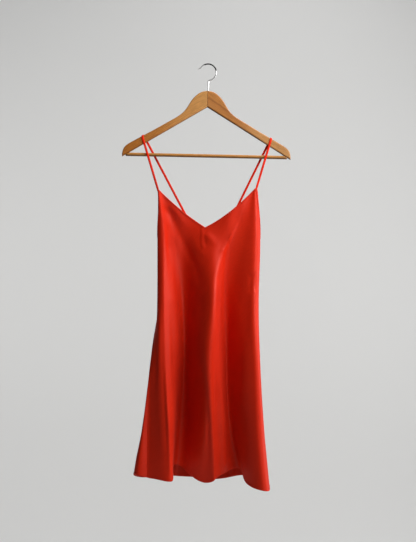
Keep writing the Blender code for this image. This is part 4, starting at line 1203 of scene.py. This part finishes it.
paths = []
for columns in (front_columns, back_columns):
    a = np.linspace(columns[0], columns[-1], HEM_LINE_POINTS)
    paths.append(on_cloth(a, hem_height(a) + HEM_STITCH_LINE, ON_HEM))
hem_stitches = sew("hem_stitches", paths, pitch=3.0, length=2.3, width=0.7)
print("stitches:", [len(piece.data.polygons) for piece in (edge_stitches, hem_stitches)], "faces")

# %% [markdown]
# ## The hanger
#
# The body is two shaped halves of a hardwood board, glued in the middle, with rounded edges,
# stained a warm brown and lacquered.  A round bar for trousers joins the arm tips and a wire hook
# goes down into the head.

# %% Wood
RING_SPACING = 0.0034      # growth rings of beech seen on a flat-sawn face, metres
PORE_LENGTH = 0.012        # real pores are a quarter of this size, too fine to show
PORE_WIDTH = 0.0007
BOARD_LENGTH = 0.26        # from the joint to past the tip, over which the colour along an arm changes


def ramp(tree, share, stops):
    """A colour ramp with stops at (share, hex colour)."""
    made = add_node(tree, "ShaderNodeValToRGB", {"Fac": share})
    steps = made.color_ramp.elements
    while len(steps) < len(stops):
        steps.new(1.0)
    for step, (place, colour) in zip(steps, stops):
        step.position, step.color = place, linear(colour)
    return made.outputs["Color"]


def wood_material(name, tones, bands, seed, underside_shade, wander_width=0.012):
    """Lacquered beech along X of the "grain" attribute: tones down its length, bands across it.

    Its fifth argument is (lowest height, height where it ends, how dark it is) of a painted shade that
    darkens the underside.
    """
    material, tree, output = new_material(name)
    where = add_node(tree, "ShaderNodeAttribute", attribute_name="grain")
    axes = add_node(tree, "ShaderNodeSeparateXYZ", {"Vector": where.outputs["Vector"]})
    stretched = add_node(tree, "ShaderNodeMapping", {
        "Vector": where.outputs["Vector"], "Location": (seed, seed, seed), "Scale": (9, 40, 40)})
    wander = add_node(tree, "ShaderNodeTexNoise", {
        "Vector": stretched.outputs["Vector"], "Scale": 1.0, "Detail": 3.0})
    sway = add_node(tree, "ShaderNodeMath", {
        0: wander.outputs["Fac"], 1: wander_width, 2: axes.outputs["Y"]}, operation="MULTIPLY_ADD")
    rings_at = add_node(tree, "ShaderNodeCombineXYZ", {
        "X": 0.0, "Y": sway.outputs["Value"], "Z": 0.0})
    rings = add_node(tree, "ShaderNodeTexWave", {
        "Vector": rings_at.outputs["Vector"], "Scale": wave_scale(RING_SPACING),
        "Distortion": 1.5, "Detail": 2.0, "Detail Scale": 2.0},
        bands_direction="Y", wave_profile="SAW")
    pore_space = add_node(tree, "ShaderNodeMapping", {
        "Vector": where.outputs["Vector"], "Location": (seed, 0, 0),
        "Scale": (1 / PORE_LENGTH, 1 / PORE_WIDTH, 1 / PORE_WIDTH)})
    pores = add_node(tree, "ShaderNodeTexNoise", {
        "Vector": pore_space.outputs["Vector"], "Scale": 1.0, "Detail": 2.0})
    along = add_node(tree, "ShaderNodeMath", {
        0: axes.outputs["X"], 1: BOARD_LENGTH}, operation="DIVIDE")
    across = add_node(tree, "ShaderNodeMapRange", {
        "Value": sway.outputs["Value"], "From Min": 0.006, "From Max": 0.056})
    ring_share = add_node(tree, "ShaderNodeMapRange", {
        "Value": rings.outputs["Fac"], "To Min": 0.74, "To Max": 1.08})
    pore_share = add_node(tree, "ShaderNodeMapRange", {
        "Value": pores.outputs["Fac"], "From Min": 0.3, "From Max": 0.6,
        "To Min": 0.66, "To Max": 1.06})
    figure = add_node(tree, "ShaderNodeMath", {
        0: ring_share.outputs["Result"], 1: pore_share.outputs["Result"]}, operation="MULTIPLY")
    # painted shade: the colour gets darker towards the underside
    low, high, darkness = underside_shade
    under = add_node(tree, "ShaderNodeMapRange", {
        "Value": axes.outputs["Y"], "From Min": low * MM, "From Max": high * MM,
        "To Min": darkness, "To Max": 1.0}, interpolation_type="SMOOTHSTEP")
    shaded = add_node(tree, "ShaderNodeMath", {
        0: figure.outputs["Value"], 1: under.outputs["Result"]}, operation="MULTIPLY")
    tone = add_node(tree, "ShaderNodeMix", {
        "Factor": 1.0, "A": ramp(tree, along.outputs["Value"], tones),
        "B": ramp(tree, across.outputs["Result"], bands)}, data_type="RGBA", blend_type="MULTIPLY")
    colour = add_node(tree, "ShaderNodeVectorMath", {
        0: tone.outputs["Result"], "Scale": shaded.outputs["Value"]}, operation="SCALE")
    bump = add_node(tree, "ShaderNodeBump", {
        "Height": pores.outputs["Fac"], "Strength": 0.25, "Distance": 0.00015})
    shader = add_node(tree, "ShaderNodeBsdfPrincipled", {
        "Base Color": colour.outputs["Vector"], "Roughness": 0.5, "IOR": 1.5,
        "Specular IOR Level": 0.3, "Coat Weight": 0.1, "Coat Roughness": 0.35,
        "Normal": bump.outputs["Normal"]})
    tree.links.new(shader.outputs["BSDF"], output.inputs["Surface"])
    return material


# %% Hanger arms
ARM_BOTTOM_CENTRE = -113.0
ARM_BOTTOM_TIP = (222.5, -247.5)
ARM_SLOPE = math.atan2(ARM_BOTTOM_TIP[1] - ARM_BOTTOM_CENTRE, ARM_BOTTOM_TIP[0])
OUTLINE_POINTS = 150
ROUND_STEPS = 7
FACE_MARGIN = 0.4          # one more ring inside the rounding keeps the shading of the face flat
JOINT_EASE = 0.5           # the glued edges are eased a little, which draws the joint


def add_grain(mesh, sign, slope):
    """Store grain coordinates in metres: X out along the board, Y up across it, Z through it."""
    points = np.empty(len(mesh.vertices) * 3)
    mesh.vertices.foreach_get("co", points)
    points = points.reshape(-1, 3)
    corner = tilt(0.0, ARM_BOTTOM_CENTRE) * MM
    out = tilt(sign * math.cos(slope), math.sin(slope))
    up = np.array((-out[1], out[0])) * sign
    from_corner = points[:, [0, 2]] - corner
    grain = mesh.attributes.new("grain", "FLOAT_VECTOR", "POINT")
    grain.data.foreach_set("vector", np.stack(
        (from_corner @ out, from_corner @ up, points[:, 1]), axis=1).ravel())


def bisectors(outline):
    """Unit bisectors into a closed outline, longer at its corners so that its sides stay parallel."""
    before = outline - np.roll(outline, 1, axis=0)
    after = np.roll(outline, -1, axis=0) - outline
    turned = []
    for step in (before, after):
        step = unit(step)
        turned.append(np.stack((step[:, 1], -step[:, 0]), axis=1))
    middle = turned[0] + turned[1]
    return 2 * middle / (middle ** 2).sum(axis=1, keepdims=True)


def arm_mesh(side):
    """One half of the hanger: its outline, swept through the board, with rounded edges."""
    sign = SIDES[side]
    outline = np.concatenate(([(SEAM_GAP / 2, ARM_BOTTOM_CENTRE)],
                              smooth_line(ARM_TOP, OUTLINE_POINTS), [ARM_BOTTOM_TIP]))
    outline[1, 0] = SEAM_GAP / 2
    into = bisectors(outline)
    rings = []
    for step in range(ROUND_STEPS + 2):
        turn = math.radians(90 * (1 - min(step, ROUND_STEPS) / ROUND_STEPS))
        depth, ease = ARM_EDGE_RADIUS * (1 - math.cos(turn)), ARM_EDGE_RADIUS * (1 - math.sin(turn))
        margin = FACE_MARGIN if step > ROUND_STEPS else 0.0
        moved = outline + into * (ease + margin)
        joint = SEAM_GAP / 2 + JOINT_EASE * ease / ARM_EDGE_RADIUS + margin
        moved[:2, 0] = joint
        moved[0, 1] = ARM_BOTTOM_CENTRE + joint * math.tan(ARM_SLOPE)
        moved[0, 1] += (ease + margin) / math.cos(ARM_SLOPE)
        rings.append((moved, ARM_THICKNESS / 2 - depth))
    rows = [(ring, -y) for ring, y in rings[::-1]] + rings
    points = [(*(tilt(sign * x, z)), y) for ring, y in rows for x, z in ring]
    bm = bmesh.new()
    verts = [bm.verts.new((x * MM, y * MM, z * MM)) for x, z, y in points]
    count = len(outline)
    for row in range(len(rows) - 1):
        for k in range(count):
            after = (k + 1) % count
            bm.faces.new([verts[row * count + k], verts[row * count + after],
                          verts[(row + 1) * count + after], verts[(row + 1) * count + k]])
    bm.faces.new(verts[:count])
    bm.faces.new(verts[-count:])
    bmesh.ops.recalc_face_normals(bm, faces=bm.faces)
    mesh = bpy.data.meshes.new(f"arm_{side}")
    bm.to_mesh(mesh)
    bm.free()
    mesh.shade_smooth()
    mesh.set_sharp_from_angle(angle=math.radians(40))
    return mesh


EVEN = ((0.0, "#ffffff"), (1.0, "#ffffff"))
# painted shade darkens each arm's underside, the right arm's more, as its lower edge faces away from
# the light
woods = {
    "left": wood_material(
        "lacquered beech, plain board",
        # along its length the left arm gets darker towards its tip, the right arm lighter towards its
        # tip
        tones=((0.0, "#c08848"), (0.3, "#c28543"), (0.55, "#b7732d"), (0.85, "#ac661e")),
        bands=EVEN, seed=3.0, underside_shade=(-1.0, 4.5, 0.75)),
    "right": wood_material(
        "lacquered beech, striped board",
        tones=((0.0, "#b47638"), (0.35, "#b37231"), (0.55, "#c28a4e"), (0.95, "#bd884e")),
        # across the board: the darkest stops along the lower edge are painted shade; the darker band
        # higher up is a line in the grain
        bands=((0.0, "#9c8468"), (0.05, "#f0e4d6"), (0.12, "#ffffff"), (0.36, "#f7f0e8"),
               (0.42, "#d6c6b2"), (0.50, "#fffdf2"), (1.0, "#fff6e6")),
        seed=7.0, underside_shade=(-1.0, 4.5, 0.45)),
}
arms = []
for side in SIDES:
    mesh = arm_mesh(side)
    add_grain(mesh, SIDES[side], ARM_SLOPE)
    mesh.materials.append(woods[side])
    arms.append(new_object(f"arm_{side}_wood", mesh))
print("arms:", [len(arm.data.polygons) for arm in arms])

# %% Trouser bar
BAR_RADIUS = 4.6
BAR_HEIGHT = -241.6
BAR_HALF_LENGTH = 213.0
BAR_STATIONS = 60
BAR_SIDES = 40
turn = np.linspace(0, math.tau, BAR_SIDES, endpoint=False)
stations = np.linspace(-BAR_HALF_LENGTH, BAR_HALF_LENGTH, BAR_STATIONS)
rings = []
for station in stations:
    x, z = tilt(station, BAR_HEIGHT)
    rings.append(np.stack((np.full(turn.shape, x), BAR_RADIUS * np.cos(turn),
                           z + BAR_RADIUS * np.sin(turn)), axis=1))
# painted shade: the dowel's lower half is darkened
bar_wood = wood_material(
    "lacquered beech dowel", tones=((0.0, "#bb7d38"), (1.0, "#be8240")), bands=EVEN, seed=11.0,
    underside_shade=(BAR_HEIGHT - ARM_BOTTOM_CENTRE - BAR_RADIUS, -127.0, 0.35), wander_width=0.002)
bar = tube("trouser_bar_wood", np.array(rings), tube_uv(stations, turn * BAR_RADIUS), bar_wood)
add_grain(bar.data, 1, 0.0)
print("bar:", len(bar.data.polygons), "faces")

# %% [markdown]
# ## The hook
#
# Steel wire, bent cold and plated with chromium.  Chrome has almost no colour of its own; it shows
# the room, so nearly all its look is in the lamps.  The top of the wire is painted dark, a painted
# dark reflection, and the part below is painted brighter than chrome, a painted highlight.  The
# painted part is found by height, from the piece's own Object coordinates.  Small smudges vary its
# roughness.

# %% Hook
HOOK_WIRE_RADIUS = 1.7
HOOK_RADIUS = 22.0
HOOK_START = 152.0         # degrees round the big bend, from the tip to the shank
HOOK_STOP = -78.0
HOOK_FLARE = (7.0, 205.0)  # length of the straight tip, and its heading in degrees
HOOK_BEND = 3.0            # radius of the small bend into the shank
HOOK_SHANK_X = 1.6
HOOK_SHANK_END = -100.0
HOOK_POINTS = {"tip": 6, "arc": 91, "bend": 9, "shank": 24}
HOOK_SIDES = 20
TIP_LEAST = 0.02           # what is left of the thickness at the very tip, squared


def arc_points(x, z, radius, start, stop, count):
    """Points (x, z) on an arc round a centre, between two angles in degrees."""
    turn = np.radians(np.linspace(start, stop, count))
    return np.stack((x + radius * np.cos(turn), z + radius * np.sin(turn)), axis=1)


arc = arc_points(0.0, HOOK_WIRE_RADIUS - HOOK_RADIUS, HOOK_RADIUS, HOOK_START, HOOK_STOP,
                 HOOK_POINTS["arc"])
bend = arc_points(HOOK_SHANK_X + HOOK_BEND, arc[-1, 1] - HOOK_BEND, HOOK_BEND, HOOK_STOP + 180, 180,
                  HOOK_POINTS["bend"])
reach, heading = HOOK_FLARE[0], math.radians(HOOK_FLARE[1])
from_arc = reach * np.linspace(1, 0.15, HOOK_POINTS["tip"])
tip = arc[0] + from_arc[:, None] * np.array((math.cos(heading), math.sin(heading)))
down = np.linspace(bend[-1, 1] - 1, HOOK_SHANK_END, HOOK_POINTS["shank"])
shank = np.stack((np.full(down.shape, HOOK_SHANK_X), down), axis=1)
route = softened(tilt(*np.concatenate((tip, arc, bend, shank)).T).T, rounds=2)
forward = unit(np.gradient(route, axis=0))
sideways = np.stack((forward[:, 1], -forward[:, 0]), axis=1)
length = along_path(route)
radius = HOOK_WIRE_RADIUS * rounded_off(length, HOOK_WIRE_RADIUS, TIP_LEAST)
turn = np.linspace(0, math.tau, HOOK_SIDES, endpoint=False)
flat = route[:, None] + sideways[:, None] * (radius[:, None] * np.cos(turn))[..., None]
rings = np.stack((flat[..., 0], radius[:, None] * np.sin(turn), flat[..., 1]), axis=2)

DARK_PAINT_FROM = -9.0         # heights between which the plating goes from painted bright to painted dark, mm
DARK_PAINT_TO = -5.0
DARK_PAINT_LEAN = 0.5          # the painted dark part reaches lower on the right by this slope

# painted light: the top of the wire is painted dark, a painted dark reflection, and the lower part
# brighter than chrome, a painted highlight
chrome, tree, output = new_material("chromium plate")
place = add_node(tree, "ShaderNodeTexCoord")
dark_paint_height = add_node(tree, "ShaderNodeVectorMath", {
    0: place.outputs["Object"], 1: (DARK_PAINT_LEAN, 0.0, 1.0)}, operation="DOT_PRODUCT")
painted_dark_share = add_node(tree, "ShaderNodeMapRange", {
    "Value": dark_paint_height.outputs["Value"], "From Min": DARK_PAINT_FROM * MM,
    "From Max": DARK_PAINT_TO * MM})
metal = add_node(tree, "ShaderNodeMix", {
    "Factor": painted_dark_share.outputs["Result"], "A": linear("#f0f0ee"), "B": linear("#1e1e1c")},
    data_type="RGBA")
smudge = add_node(tree, "ShaderNodeTexNoise", {
    "Vector": place.outputs["Object"], "Scale": 160.0, "Detail": 3.0})
dull = add_node(tree, "ShaderNodeMapRange", {
    "Value": smudge.outputs["Fac"], "To Min": 0.26, "To Max": 0.42})
shader = add_node(tree, "ShaderNodeBsdfPrincipled", {
    "Base Color": metal.outputs["Result"], "Metallic": 1.0, "Roughness": dull.outputs["Result"]})
tree.links.new(shader.outputs["BSDF"], output.inputs["Surface"])
hook = tube("hook_wire", rings, tube_uv(length, turn), chrome)
print("hook:", round(length[-1]), "mm of wire")

# %% [markdown]
# ## Hand the pieces over
#
# Each finished piece stands for its plain node in the measured model and moves with it.

# %% Replace and ride
REPLACES = (
    # piece, nodes it stands for, material slot
    (front, ("front_panel",), "satin"),
    (back, ("back_panel",), "satin"),
    (neck_bindings[0], ("neck_binding_left",), "satin"),
    (neck_bindings[1], ("neck_binding_right",), "satin"),
    (back_binding, ("back_neck_binding",), "satin"),
    (armhole_bindings[0], ("armhole_binding_left",), "satin"),
    (armhole_bindings[1], ("armhole_binding_right",), "satin"),
    (straps[0], ("strap_left",), "satin"),
    (straps[1], ("strap_right",), "satin"),
    (arms[0], ("hanger_arm_left",), "hanger_wood"),
    (arms[1], ("hanger_arm_right",), "hanger_wood"),
    (bar, ("trouser_bar",), "hanger_wood"),
    (hook, ("hook",), "hook_steel"),
    (edge_stitches, (), "satin"),
    (hem_stitches, (), "satin"),
)
for piece, nodes, slot in REPLACES:
    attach(piece, "root")
    if nodes:
        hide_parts(*nodes)
